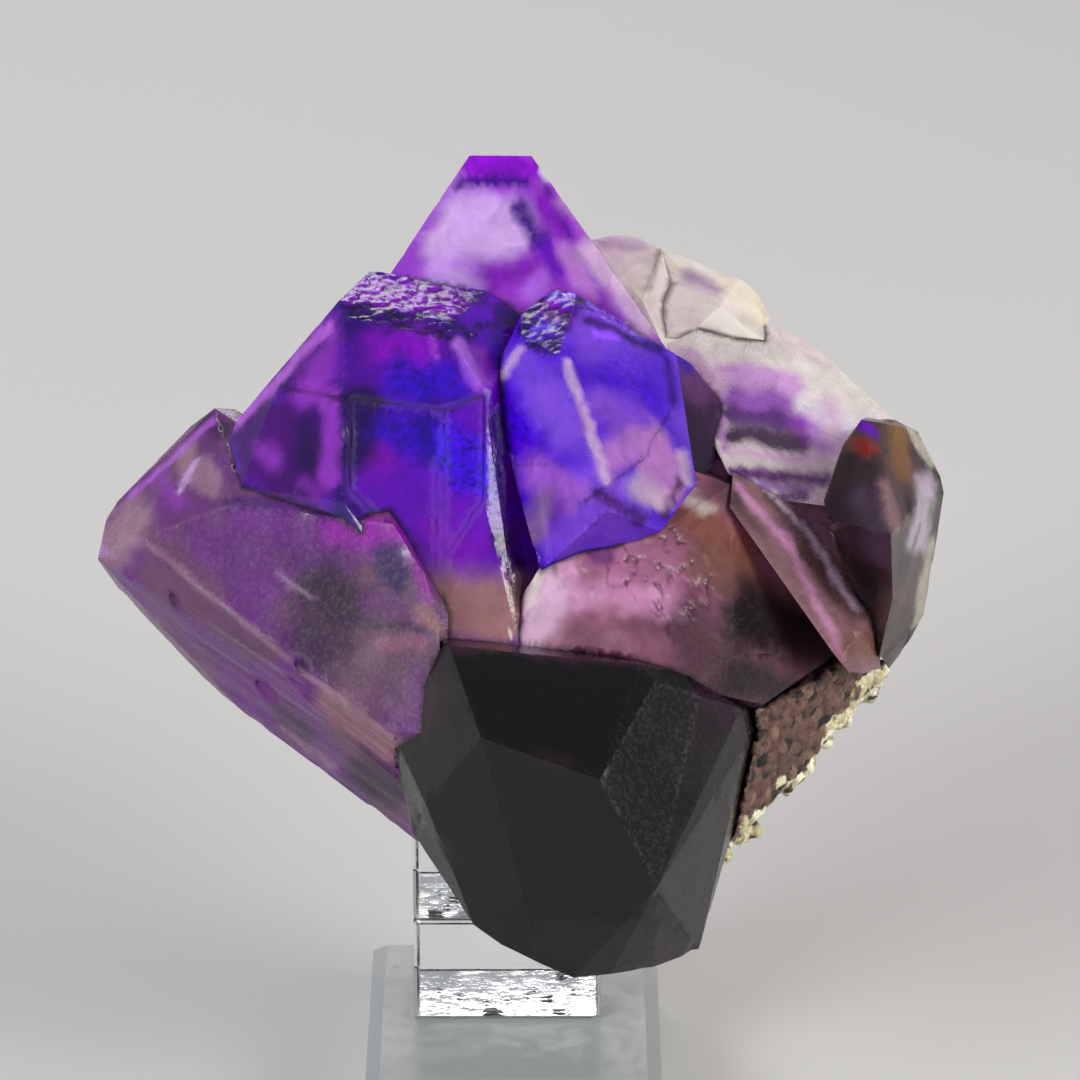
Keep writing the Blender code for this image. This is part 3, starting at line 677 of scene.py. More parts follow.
def even_copy(node, facet):
    """The node's solid as a bmesh of even square faces of this size."""
    rough = new_object("even_copy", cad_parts[node].data.copy())
    grid = rough.modifiers.new("even_faces", "REMESH")
    grid.mode = "VOXEL"
    grid.voxel_size = facet
    evaluated = rough.evaluated_get(bpy.context.evaluated_depsgraph_get())
    bm = bmesh.new()
    bm.from_mesh(evaluated.to_mesh())
    evaluated.to_mesh_clear()
    bpy.data.objects.remove(rough)
    return bm


def triangles_of(bm, layer=None):
    """Its points in millimetres, its triangles and the layer's number for each. It frees the bmesh."""
    bmesh.ops.triangulate(bm, faces=bm.faces)
    flat = [edge for edge in bm.edges if abs(edge.calc_face_angle_signed(1)) < math.radians(0.3)]
    bmesh.ops.beautify_fill(bm, faces=bm.faces, edges=flat, method="ANGLE")
    bm.verts.index_update()
    points = np.array([vert.co for vert in bm.verts]) / MM
    faces = np.array([[vert.index for vert in face.verts] for face in bm.faces])
    labels = np.array([face[layer] if layer else 0 for face in bm.faces])
    bm.free()
    return points, faces, labels


def edges_of(faces):
    """The edges, as pairs of vertices, and each face's three edges, opposite ways round counted as one."""
    ends = np.sort(faces[:, [0, 1, 1, 2, 2, 0]].reshape(-1, 2), axis=1)
    count = faces.max() + 1
    keys, number = np.unique(ends[:, 0] * count + ends[:, 1], return_inverse=True)
    return np.stack([keys // count, keys % count], axis=1), number.reshape(-1, 3)


def refine(points, faces, labels, wanted):
    """Splits each edge that is longer than wanted(middles) says, longest first, with its two faces."""
    while True:
        edges, of_face = edges_of(faces)
        length = np.linalg.norm(points[edges[:, 0]] - points[edges[:, 1]], axis=1)
        middle = points[edges].mean(axis=1)
        longest = np.zeros(len(edges), bool)
        longest[of_face[np.arange(len(faces)), length[of_face].argmax(axis=1)]] = True
        split = longest & (length > wanted(middle) * STRETCH)
        if not split.any():
            return points, faces, labels
        added = np.full(len(edges), -1)
        added[split] = len(points) + np.arange(split.sum())
        points = np.concatenate([points, middle[split]])
        mids = added[of_face]
        count = (mids >= 0).sum(axis=1)
        # Turn each face so that its split edges come first.
        first = np.where(count == 1, (mids >= 0).argmax(axis=1), 0)
        first = np.where(count == 2, ((mids < 0).argmax(axis=1) + 1) % 3, first)
        turn = (first[:, None] + np.arange(3)) % 3
        a, b, c = np.take_along_axis(faces, turn, 1).T
        ab, bc, ca = np.take_along_axis(mids, turn, 1).T
        parts = []
        for needed, triangles in (
            (0, ((a, b, c),)),
            (1, ((a, ab, c), (ab, b, c))),
            (2, ((ab, b, bc), (a, ab, bc), (a, bc, c))),
            (3, ((a, ab, ca), (ab, b, bc), (ca, bc, c), (ab, bc, ca))),
        ):
            here = count == needed
            for triangle in triangles:
                parts.append((np.stack([corner[here] for corner in triangle], axis=1), labels[here]))
        faces = np.concatenate([part for part, _ in parts])
        labels = np.concatenate([label for _, label in parts])


def edge_angles(points, faces):
    """The edges, their angles (above 0 on a ridge, below 0 in a valley) and the two faces of each."""
    a, b, c = (points[corner] for corner in faces.T)
    normals = np.cross(b - a, c - a)
    normals /= np.maximum(np.linalg.norm(normals, axis=1, keepdims=True), 1e-12)
    edges, of_face = edges_of(faces)
    order = np.argsort(of_face.ravel(), kind="stable")
    uses = np.bincount(of_face.ravel())
    if (uses != 2).any():
        raise RuntimeError("the solid isn't closed")
    one, other = (order.reshape(-1, 2) // 3).T
    angle = np.arccos(np.clip((normals[one] * normals[other]).sum(axis=1), -1, 1))
    towards = points[faces[other]].mean(axis=1) - points[faces[one]].mean(axis=1)
    angle *= np.where((towards * normals[one]).sum(axis=1) > 0, -1, 1)
    return edges, angle, np.stack([one, other], axis=1)


def piece_from(name, points, faces, *nodes, slot):
    """A new object from these triangles that stands for these nodes."""
    mesh = bpy.data.meshes.new(name)
    mesh.from_pydata((points * MM).tolist(), [], faces.tolist())
    made = new_object(name, mesh)
    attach(made, BODY)
    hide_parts(*nodes)
    return made


def sharpen(mesh, angle, limit):
    """Shades the faces smooth, but not across edges whose angle, in edges_of's order, is over the limit."""
    mesh.shade_smooth()
    ends = np.empty(len(mesh.edges) * 2, np.int64)
    mesh.edges.foreach_get("vertices", ends)
    ends = np.sort(ends.reshape(-1, 2), axis=1)
    order = np.lexsort((ends[:, 1], ends[:, 0]))
    sharp = np.zeros(len(ends), bool)
    sharp[order] = np.abs(angle) > limit
    layer = mesh.attributes.new("sharp_edge", "BOOLEAN", "EDGE")
    layer.data.foreach_set("value", sharp)


def vectors_of(items, name):
    """The vector of this name of every vertex, face or normal, as rows."""
    flat = np.empty(len(items) * 3)
    items.foreach_get(name, flat)
    return flat.reshape(-1, 3)


def positions(mesh):
    """Vertex places in millimetres."""
    return vectors_of(mesh.vertices, "co") / MM


def vertex_normals(mesh):
    return vectors_of(mesh.vertex_normals, "vector")


def face_normals(mesh):
    return vectors_of(mesh.polygon_normals, "vector")


def raise_vertices(mesh, points, normals, height):
    """Puts each vertex this many millimetres out from its point, along its normal."""
    mesh.vertices.foreach_set("co", ((points + normals * height[:, None]) * MM).ravel())
    mesh.update()


def corner_vertices(mesh):
    """The vertex of each face corner. Every face is a triangle, so face n has corners 3n to 3n + 2."""
    found = np.empty(len(mesh.loops), np.int64)
    mesh.loops.foreach_get("vertex_index", found)
    return found


def mean_of_faces(mesh, values):
    """For each vertex, the mean of its faces' values: for a mask, the share of them that it picks."""
    corners = corner_vertices(mesh)
    total = np.bincount(corners, np.repeat(values.astype(float), 3), len(mesh.vertices))
    return total / np.maximum(np.bincount(corners, minlength=len(mesh.vertices)), 1)


def store_colors(mesh, name, colors):
    """Colours for the face corners, in linear light."""
    layer = mesh.color_attributes.new(name, "FLOAT_COLOR", "CORNER")
    layer.data.foreach_set("color", colors.astype(np.float32).ravel())


def tree_of(points):
    tree = kdtree.KDTree(len(points))
    for number, point in enumerate(points):
        tree.insert(point, number)
    tree.balance()
    return tree


def distances(points, targets, reach):
    """How far each point is from the nearest target, up to this reach."""
    found = np.full(len(points), float(reach))
    if len(targets):
        tree = tree_of(targets)
        for number, point in enumerate(points):
            found[number] = min(tree.find(point)[2], reach)
    return found


def grains(points, seeds, sizes, slopes):
    """Broken grains round these seeds: each point's height on its grain, and the grain it is on."""
    tree = tree_of(seeds)
    height, owner = np.full(len(points), -math.inf), np.zeros(len(points), int)
    for number, point in enumerate(points):
        for _, seed, distance in tree.find_n(point, 4):
            rise = sizes[seed] - GRAIN_SIDE * distance + slopes[seed] @ (point - seeds[seed])
            if rise > height[number]:
                height[number], owner[number] = rise, seed
    return height, owner


# The crystals.


def grow_patches(bm):
    """Lists of faces joined across every edge that isn't a valley: each is one crystal's own surface."""
    patches, seen = [], set()
    for first in bm.faces:
        if first in seen:
            continue
        patch, queue = [], [first]
        seen.add(first)
        while queue:
            face = queue.pop()
            patch.append(face)
            for edge in face.edges:
                if edge.calc_face_angle_signed(0) < -VALLEY_ANGLE:
                    continue
                for other in edge.link_faces:
                    if other not in seen:
                        seen.add(other)
                        queue.append(other)
        patches.append(patch)
    return patches


def border_lengths(patch, layer):
    """How long the patch's border is with each crystal that already has its faces."""
    border = {}
    for face in patch:
        for edge in face.edges:
            for other in edge.link_faces:
                if other[layer] >= 0:
                    border[other[layer]] = border.get(other[layer], 0) + edge.calc_length()
    return border


def name_faces(bm):
    """Gives each face its crystal's number: the nearest crystal's to a large patch's middle, and the
    neighbour's for a small patch."""
    layer = bm.faces.layers.int.new("crystal")
    places = [Vector(SEAT + place) * MM for place, *_ in CRYSTALS.values()]
    waiting = []
    for face in bm.faces:
        face[layer] = -1
    for patch in grow_patches(bm):
        area = sum(face.calc_area() for face in patch)
        if area < LARGE_PATCH * MM**2:
            waiting.append(patch)
            continue
        middle = sum((face.calc_center_median() * face.calc_area() for face in patch), Vector()) / area
        nearest = min(range(len(places)), key=lambda n: (places[n] - middle).length)
        for face in patch:
            face[layer] = nearest
    while waiting:
        left = []
        for patch in waiting:
            border = border_lengths(patch, layer)
            if not border:
                left.append(patch)
                continue
            for face in patch:
                face[layer] = max(border, key=border.get)
        if len(left) == len(waiting):
            raise RuntimeError("a patch of the cluster touches no named crystal")
        waiting = left


def crack_lines():
    for lines in CRACKS.values():
        for *_, points in lines:
            yield from itertools.pairwise(points)


def fine_tips(points):
    """True on the two tips whose hillocks need a fine mesh."""
    place = points - SEAT
    return np.any([((place > low) & (place < high)).all(axis=1) for low, high in FINE_TIPS], axis=0)


def etched_patch(points):
    """How far inside the etched patch of the rose body each point is, from 0 to 1."""
    return 1 - smooth_step(distance_to_line(points - SEAT, *ETCHED_PATCH), *ETCHED_REACH)


def etched_grooves(points):
    """Short wandering grooves: how deep each point is in one, from 0 to 1."""
    wandering = np.abs(noise(points, 1.9, seed=77) + 0.5 * noise(points, 0.9, seed=78))
    broken = smooth_step(noise(points, 3.4, seed=79), -0.3, 0.3)
    return (1 - smooth_step(wandering, 0.02, 0.2)) * broken


def facet_size(points, settings):
    """How long the mesh's edges may be at each place of the cluster."""
    front = points[:, 1] * DISPLAY_LIMIT[0] < points[:, 2] * DISPLAY_LIMIT[1]
    size = np.where(front, settings.display_facet, settings.back_facet) / MM
    size = np.where(fine_tips(points), TIP_FACET, size)
    fine = distance_to_lines(on_display_plane(points), crack_lines()) < FINE_REACH
    fine |= etched_patch(points) > 0.3
    return np.where(fine & front, FINE_FACET, size)


def even_patch(points, faces, crystal_of_face):
    """Evens out the low lumps of the etched patch, which gets its own finer relief instead."""
    others = np.unique(faces[crystal_of_face != list(CRYSTALS).index("rose_body")])
    loose = etched_patch(points) > 0
    loose[others] = False
    edges, _ = edges_of(faces)
    edges = edges[loose[edges].any(axis=1)]
    for _ in range(EVENING_ROUNDS):
        total, count = np.zeros_like(points), np.zeros(len(points))
        for one, other in (edges.T, edges.T[::-1]):
            np.add.at(total, one, points[other])
            np.add.at(count, one, 1)
        points[loose] = total[loose] / count[loose, None]
    return points


def chips(points, ridge_distance, settings):
    """How deep the chips along the ridges are, in millimetres."""
    near = 1 - smooth_step(ridge_distance, *CHIP_REACH)
    return smooth_step(noise(points, CHIP_LENGTH, seed=37), 0.35, 0.8) * near * settings.wear / MM


def striation(points, direction, faces):
    """Fine lines along this direction on faces that look this way, from -1 to 1."""
    across = np.cross(direction, faces)
    place = points @ across / np.linalg.norm(across)
    line = np.stack([place, STRIATION_DRIFT * points @ np.array(direction), place * 0], axis=1)
    return noise(line, STRIATION_SPACING, seed=7)


def tip_hillocks(points, mask, settings):
    """Low blocky steps on the tips: each point's height, and how near it is to its step's border."""
    inside = np.flatnonzero(mask > 0.5)
    height, border = np.zeros(len(points)), np.zeros(len(points))
    draw = np.random.default_rng(5)
    stretched = points[inside] * HILLOCK_SHAPE
    low, high = stretched.min(0), stretched.max(0)
    seeds = draw.uniform(low - 0.5, high + 0.5, (HILLOCKS, 3))
    tree = tree_of(seeds)
    steps = draw.uniform(0.2, 1, len(seeds))
    for number, place in zip(inside, stretched):
        (_, first, near), (_, _, far) = tree.find_n(place, 2)
        edge = min((far - near) / HILLOCK_SIDE, 1)
        height[number] = steps[first] * edge * settings.hillock / MM
        border[number] = 1 - edge
    return height, border


def crystal_relief(mesh, crystal_of_face, ridge_distance, settings):
    """Gives the faces their relief, and returns how near a hillock's border each vertex is."""
    points, normals = positions(mesh), vertex_normals(mesh)
    names = list(CRYSTALS)
    has_hillocks = np.isin(crystal_of_face, [names.index("tower"), names.index("blue_point")])
    tips = mean_of_faces(mesh, has_hillocks & (face_normals(mesh)[:, 2] > 0.75)) * fine_tips(points)
    height = cloud(points, 8, seed=3) * settings.undulation / MM - chips(points, ridge_distance, settings)
    hillock_height, border = tip_hillocks(points, tips, settings)
    height += hillock_height * (tips > 0.99)
    for name, (direction, faces) in STRIATED.items():
        facing = face_normals(mesh) @ np.array(faces) / np.linalg.norm(faces) > 0.9
        mask = mean_of_faces(mesh, (crystal_of_face == names.index(name)) & facing)
        height += (mask > 0.99) * striation(points, direction, faces) * STRIATION_HEIGHT
    etched = np.array([crystal[-1] for crystal in CRYSTALS.values()])[crystal_of_face]
    height += mean_of_faces(mesh, etched) * cloud(points, 2.4, seed=12) * ETCHING
    patch = etched_patch(points) * mean_of_faces(mesh, crystal_of_face == names.index("rose_body"))
    lumps = ETCHED_LUMPS * cloud(points, 2.2, seed=21)
    height += patch * (lumps - ETCHED_GROOVES * etched_grooves(points))
    raise_vertices(mesh, points, normals, height)
    return border * (tips > 0.99)


def lay_over(tone, tint, share):
    """Moves the tone towards the tint by this share at each place."""
    tone += (tint - tone) * share[:, None]


def crystal_tone(name, number, place, tints):
    """Red, green, blue and speckle at each place of this crystal: its two tints, its zones and cracks."""
    _, first, second, _, _ = CRYSTALS[name]
    clouded = smooth_step(cloud(place, CLOUD_SIZE, seed=50 + number), -0.15, 0.45)[:, None]
    tone = tints[first] * (1 - clouded) + tints[second] * clouded
    wander = np.stack([cloud(place, WANDER_SIZE, seed=seed) for seed in (60, 70)], axis=1)
    ragged = np.stack([noise(place, RAGGED_SIZE, seed=seed) for seed in (61, 71)], axis=1)
    flat = on_display_plane(place)
    for tint, start, end, half_width, fade, strength in ZONES.get(name, ()):
        moved = flat + wander * min(half_width, MOST_WANDER) + ragged * min(0.3 * fade, MOST_RAGGED)
        away = distance_to_line(moved, start, end)
        share = strength * (1 - smooth_step(away, half_width - fade, half_width + fade))
        lay_over(tone, tints[tint], share)
    for tint, half_width, strength, line in CRACKS.get(name, ()):
        away = distance_to_lines(flat + wander * CRACK_WANDER, itertools.pairwise(line))
        share = strength * (1 - smooth_step(away, half_width * 0.5, half_width * 1.8))
        lay_over(tone, tints[tint], share * (0.6 + 0.4 * noise(place, 2.3, seed=62)))
    if name == "rose_body":
        # Painted shade: the etched grooves are darker.
        lay_over(tone, tints["plum_rose"], GROOVE_SHADE * etched_patch(place) * etched_grooves(place))
    return tone


def paint_crystals(mesh, crystal_of_face, near, border):
    """Colours and finish of every face corner, crystal by crystal, with painted shade in the seams and
    round the hillocks.

    Finish holds the speckle, how etched the face is, its roughness and how worn its edge is, which also
    sets the edge's painted highlight.
    """
    points, corners = positions(mesh), corner_vertices(mesh)
    crystal_of_corner = np.repeat(crystal_of_face, 3)
    colors, finish = np.ones((len(corners), 4)), np.zeros((len(corners), 4))
    tints = {name: np.array([*linear(value[:3]), value[3]]) for name, value in TINTS.items()}
    for number, (name, (*_, rough, etched)) in enumerate(CRYSTALS.items()):
        here = np.flatnonzero(crystal_of_corner == number)
        vertices = corners[here]
        place = points[vertices]
        tone = crystal_tone(name, number, place, tints)
        # Painted shade: the quartz is darker in the seams between crystals and at the hillocks' borders.
        seam_shade_width = 0.6 + 0.3 * noise(place, 1.5, seed=63)
        seam_shade = 1 - smooth_step(near["valley"][vertices], 0.05, seam_shade_width)
        shade = (1 - SEAM_SHADE * seam_shade) * (1 - HILLOCK_BORDER_SHADE * border[vertices])
        ledge = 1 - smooth_step(near["ledge"][vertices], *LEDGE_REACH)
        # Near a ridge the quartz is worn, and its colour gets a painted highlight.
        wear_and_highlight = 1 - smooth_step(near["ridge"][vertices], *WEAR_HIGHLIGHT_REACH)
        colors[here, :3] = deepen(tone[:, :3] * shade[:, None])
        finish[here, 0] = tone[:, 3]
        finish[here, 1] = etched
        finish[here, 2] = rough + LEDGE_ROUGHNESS * ledge
        finish[here, 3] = wear_and_highlight
    store_colors(mesh, "tint", colors)
    store_colors(mesh, "finish", finish)


def make_crystals(settings):
    bm = solid_copy("crystal_cluster")
    name_faces(bm)
    solid = triangles_of(bm, bm.faces.layers.int["crystal"])
    points, faces, crystal_of_face = refine(*solid, lambda places: facet_size(places, settings))
    points = even_patch(points, faces, crystal_of_face)
    edges, angle, sides = edge_angles(points, faces)
    joint = crystal_of_face[sides[:, 0]] != crystal_of_face[sides[:, 1]]
    angle = np.where((angle < 0) & ~joint & (angle > -FAINT_ANGLE), 0, angle)
    valleys = np.unique(edges[(angle < -FEATURE_ANGLE) & joint])
    ledges = np.unique(edges[(angle < -FEATURE_ANGLE) & ~joint])
    ridges = np.setdiff1d(edges[angle > FEATURE_ANGLE], valleys)
    kinds = {"valley": valleys, "ledge": ledges, "ridge": ridges}
    near = {kind: distances(points, points[found], EDGE_REACH) for kind, found in kinds.items()}
    made = piece_from("quartz_crystals", points, faces, "crystal_cluster", slot="violet_quartz")
    sharpen(made.data, angle, SHARP_ANGLE)
    border = crystal_relief(made.data, crystal_of_face, near["ridge"], settings)
    paint_crystals(made.data, crystal_of_face, near, border)
    made.data.materials.append(quartz_material(settings))


# The matrix crust.


def make_crust(settings):
    points, faces, _ = triangles_of(even_copy("matrix_crust", settings.facet))
    made = piece_from("matrix_rock", points, faces, "matrix_crust", slot="matrix")
    mesh = made.data
    mesh.shade_smooth()
    normals = vertex_normals(mesh)
    draw = np.random.default_rng(8)
    seeds = points[draw.integers(0, len(points), settings.grain_count)]
    sizes = settings.grain / MM * draw.uniform(*GRAIN_SIZES, len(seeds)) ** 1.5
    slopes = draw.normal(0, GRAIN_TILT, (len(seeds), 3))
    height, owner = grains(points, seeds, sizes, slopes)
    height = np.clip(height, *GRAIN_HEIGHTS)
    rise = height * GRAIN_RELIEF + CRUST_LUMPS * cloud(points, 2.5, seed=9) - CRUST_SINK
    raise_vertices(mesh, points, normals, rise)
    away = distance_to_lines(on_display_plane(seeds), itertools.pairwise(RIM_LINE))
    bright = away + RIM_RAGGED * noise(seeds, 2, seed=6) < RIM_BAND
    bright |= seeds[:, 1] > SEAT[1] + RIM_BACK
    kind = draw.choice(len(GRAIN_SHARES), len(seeds), p=GRAIN_SHARES)
    tints = np.where(bright[:, None], linear(RIM_TINTS)[kind], linear(INNER_TINTS)[kind])
    # Painted shade: each grain is darker where it lies low, between the grains.
    tone = tints[owner] * (0.45 + 0.55 * smooth_step(height, -0.2, 0.4))[:, None]
    colors = np.ones((len(mesh.loops), 4))
    colors[:, :3] = tone[corner_vertices(mesh)]
    store_colors(mesh, "tint", colors)
    mesh.materials.append(rock_material())


# Node tools.


def feed(tree, socket, value):
    """Links the socket to the value if that's a socket, or else sets it."""
    if isinstance(value, bpy.types.NodeSocket):
        tree.links.new(value, socket)
    else:
        socket.default_value = value


def set_inputs(tree, made, inputs):
    for name, value in inputs.items():
        feed(tree, made.inputs[name], value)


def node(tree, kind, inputs=None, **values):
    made = tree.nodes.new(kind)
    for name, value in values.items():
        setattr(made, name, value)
    set_inputs(tree, made, inputs or {})
    return made


def math_node(tree, operation, first, second):
    return node(tree, "ShaderNodeMath", {0: first, 1: second}, operation=operation).outputs[0]


def times_plus(tree, value, factor, base):
    """The value times the factor, plus the base."""
    return math_node(tree, "ADD", math_node(tree, "MULTIPLY", value, factor), base)


def mix_color(tree, share, first, second, blend="MIX"):
    made = node(tree, "ShaderNodeMix", data_type="RGBA", blend_type=blend)
    for name, value in (("Factor_Float", share), ("A_Color", first), ("B_Color", second)):
        feed(tree, next(socket for socket in made.inputs if socket.identifier == name), value)
    return next(socket for socket in made.outputs if socket.identifier == "Result_Color")


def ramp(tree, value, low, high):
    """From 0 at low to 1 at high, smoothly."""
    inputs = {"Value": value, "From Min": low, "From Max": high}
    made = node(tree, "ShaderNodeMapRange", inputs, interpolation_type="SMOOTHSTEP", clamp=True)
    return made.outputs["Result"]


def noise_texture(tree, place, scale, detail, inputs):
    made = node(tree, "ShaderNodeTexNoise", {"Vector": place, "Scale": scale, "Detail": detail, **inputs})
    return made.outputs["Fac"]


def attribute(tree, name):
    return node(tree, "ShaderNodeAttribute", attribute_name=name)


def in_millimetres(tree):
    """The object's own coordinates, in millimetres."""
    source = node(tree, "ShaderNodeTexCoord").outputs["Object"]
    made = node(tree, "ShaderNodeVectorMath", {0: source, "Scale": 1 / MM}, operation="SCALE")
    return made.outputs[0]


def bumped(tree, height, strength, depth):
    """The normal of a surface with this height, whose full range is this many millimetres."""
    inputs = {"Height": height, "Strength": strength, "Distance": depth * MM}
    return node(tree, "ShaderNodeBump", inputs).outputs["Normal"]


def new_group(name, inputs, outputs):
    """A shader node group with these named sockets, and its two ends."""
    tree = bpy.data.node_groups.new(name, "ShaderNodeTree")
    for title, kind, value in inputs:
        socket = tree.interface.new_socket(title, in_out="INPUT", socket_type=kind)
        if value is not None:
            socket.default_value = value
    for title, kind in outputs:
        tree.interface.new_socket(title, in_out="OUTPUT", socket_type=kind)
    return tree, tree.nodes.new("NodeGroupInput"), tree.nodes.new("NodeGroupOutput")


def speckle_group():
    """Fine dark flecks and light flecks over a colour, as strong as Amount says."""
    found = bpy.data.node_groups.get("speckle")
    if found:
        return found
    tree, start, end = new_group(
        "speckle",
        (
            ("Color", "NodeSocketColor", None),
            ("Amount", "NodeSocketFloat", 0.5),
            ("Per Millimetre", "NodeSocketFloat", 1.2),
            ("Position", "NodeSocketVector", None),
        ),
        (("Color", "NodeSocketColor"),),
    )
    color, amount, per_mm, place = start.outputs[:4]
    grain = noise_texture(tree, place, per_mm, 3.0, {"Roughness": 0.78})
    dark = ramp(tree, grain, 0.5, 0.62)
    light = math_node(tree, "SUBTRACT", 1, ramp(tree, grain, 0.34, 0.45))
    darker = mix_color(tree, 1.0, color, DARK_FLECK, "MULTIPLY")
    lighter = mix_color(tree, 1.0, color, LIGHT_FLECK, "MULTIPLY")
    amount = math_node(tree, "POWER", amount, 1.8)
    flecked = mix_color(tree, math_node(tree, "MULTIPLY", dark, amount), color, darker)
    flecked = mix_color(tree, math_node(tree, "MULTIPLY", light, amount), flecked, lighter)
    tree.links.new(flecked, end.inputs["Color"])
    return tree


def fine_relief_group():
    """A height for bumps too small for the mesh, and a mask of the places where they are strong."""
    found = bpy.data.node_groups.get("fine_relief")
    if found:
        return found
    tree, start, end = new_group(
        "fine_relief",
        (("Per Millimetre", "NodeSocketFloat", 1.0), ("Position", "NodeSocketVector", None)),
        (("Height", "NodeSocketFloat"), ("Mask", "NodeSocketFloat")),
    )
    per_mm, place = start.outputs[:2]
    grain = noise_texture(tree, place, per_mm, 4.0, {"Roughness": 0.62})
    tree.links.new(grain, end.inputs["Height"])
    tree.links.new(ramp(tree, grain, 0.4, 0.7), end.inputs["Mask"])
    return tree


def speckled(tree, place, color, amount, per_mm):
    """The colour with its flecks."""
    inputs = {"Color": color, "Amount": amount, "Per Millimetre": per_mm, "Position": place}
    return node(tree, "ShaderNodeGroup", node_tree=speckle_group(), inputs=inputs).outputs["Color"]


def fine_relief(tree, place, per_mm):
    """The relief's height and its mask."""
    inputs = {"Per Millimetre": per_mm, "Position": place}
    made = node(tree, "ShaderNodeGroup", node_tree=fine_relief_group(), inputs=inputs)
    return made.outputs["Height"], made.outputs["Mask"]


# Materials.


def new_material(name):
    made = bpy.data.materials.new(name)
    made.use_nodes = True
    tree = made.node_tree
    return made, tree, tree.nodes["Principled BSDF"]


def quartz_material(settings):
    made, tree, surface = new_material("violet_quartz")
    place = in_millimetres(tree)
    finish = attribute(tree, "finish")
    parts = node(tree, "ShaderNodeSeparateColor", {"Color": finish.outputs["Color"]})
    speckle, etched, rough = parts.outputs
    # Wear: how near a sharp edge the corner is. It roughens the edge and sets its painted highlight.
    wear = finish.outputs["Alpha"]
    veil = times_plus(tree, noise_texture(tree, place, 0.28, 3.0, {"Distortion": 1.2}), 0.7, 0.66)
    clouded = mix_color(tree, 1.0, attribute(tree, "tint").outputs["Color"], veil, "MULTIPLY")
    flecked = speckled(tree, place, clouded, speckle, 0.9)
    # The sharp edges are a little lighter: partly wear, partly a painted highlight.
    pale = mix_color(tree, 1.0, flecked, WORN_EDGE_HIGHLIGHT, "MULTIPLY")
    wear_and_highlight = mix_color(tree, math_node(tree, "MULTIPLY", wear, 0.1), flecked, pale)
    height, mask = fine_relief(tree, place, 1.7)
    edge = math_node(tree, "MULTIPLY", math_node(tree, "MULTIPLY", wear, mask), 0.2)
    dull = math_node(tree, "ADD", math_node(tree, "MULTIPLY", mask, 0.12), edge)
    height = math_node(tree, "MULTIPLY", height, times_plus(tree, etched, 0.35, 0.01))
    inputs = {
        "Base Color": wear_and_highlight,
        "Roughness": math_node(tree, "ADD", rough, dull),
        "Normal": bumped(tree, height, strength=0.8, depth=0.3),
        "Transmission Weight": settings.clarity,
        "IOR": QUARTZ_IOR,
        "Specular IOR Level": QUARTZ_SHEEN,
    }
    set_inputs(tree, surface, inputs)
    body = {"Color": (*settings.body_color, 1), "Density": settings.body_density}
    body = node(tree, "ShaderNodeVolumeAbsorption", body)
    tree.links.new(body.outputs[0], tree.nodes["Material Output"].inputs["Volume"])
    return made


def rock_material():
    made, tree, surface = new_material("matrix_rock")
    place = in_millimetres(tree)
    height, mask = fine_relief(tree, place, 2.2)
    inputs = {
        "Base Color": speckled(tree, place, attribute(tree, "tint").outputs["Color"], 0.5, 2.0),
        "Roughness": times_plus(tree, mask, 0.3, 0.55),
        "Normal": bumped(tree, height, strength=0.9, depth=0.2),
    }
    set_inputs(tree, surface, inputs)
    return made


def acrylic_material(name, color, rough, cloudiness, clarity):
    """Acrylic with faint marks from handling: clear, or frosted if it's rough and not so clear."""
    made, tree, surface = new_material(name)
    height, mask = fine_relief(tree, in_millimetres(tree), 0.35)
    marked = mix_color(tree, mask, (*color, 1), HANDLING_MARKS)
    inputs = {
        "Base Color": mix_color(tree, 0.25, (*color, 1), marked),
        "Roughness": times_plus(tree, mask, cloudiness, rough),
        "Normal": bumped(tree, height, strength=0.15, depth=0.1),
        "Transmission Weight": clarity,
        "IOR": ACRYLIC_IOR,
    }
    set_inputs(tree, surface, inputs)
    return made


def glue_material():
    made, tree, surface = new_material("old_glue")
    flecked = speckled(tree, in_millimetres(tree), GLUE_COLOR, 0.8, 2.0)
    set_inputs(tree, surface, {"Base Color": flecked, "Roughness": 0.35})
    return made


# The stand.


def finish_stand(settings):
    block = acrylic_material("clear_acrylic", settings.block_color, 0.02, 0.05, clarity=1)
    plate = acrylic_material("frosted_acrylic", settings.plate_color, 0.28, 0.2, clarity=0.6)
    for name, material in (("riser_upper", block), ("riser_lower", block), ("base_plate", plate)):
        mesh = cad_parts[name].data
        mesh.materials.clear()
        mesh.materials.append(material)


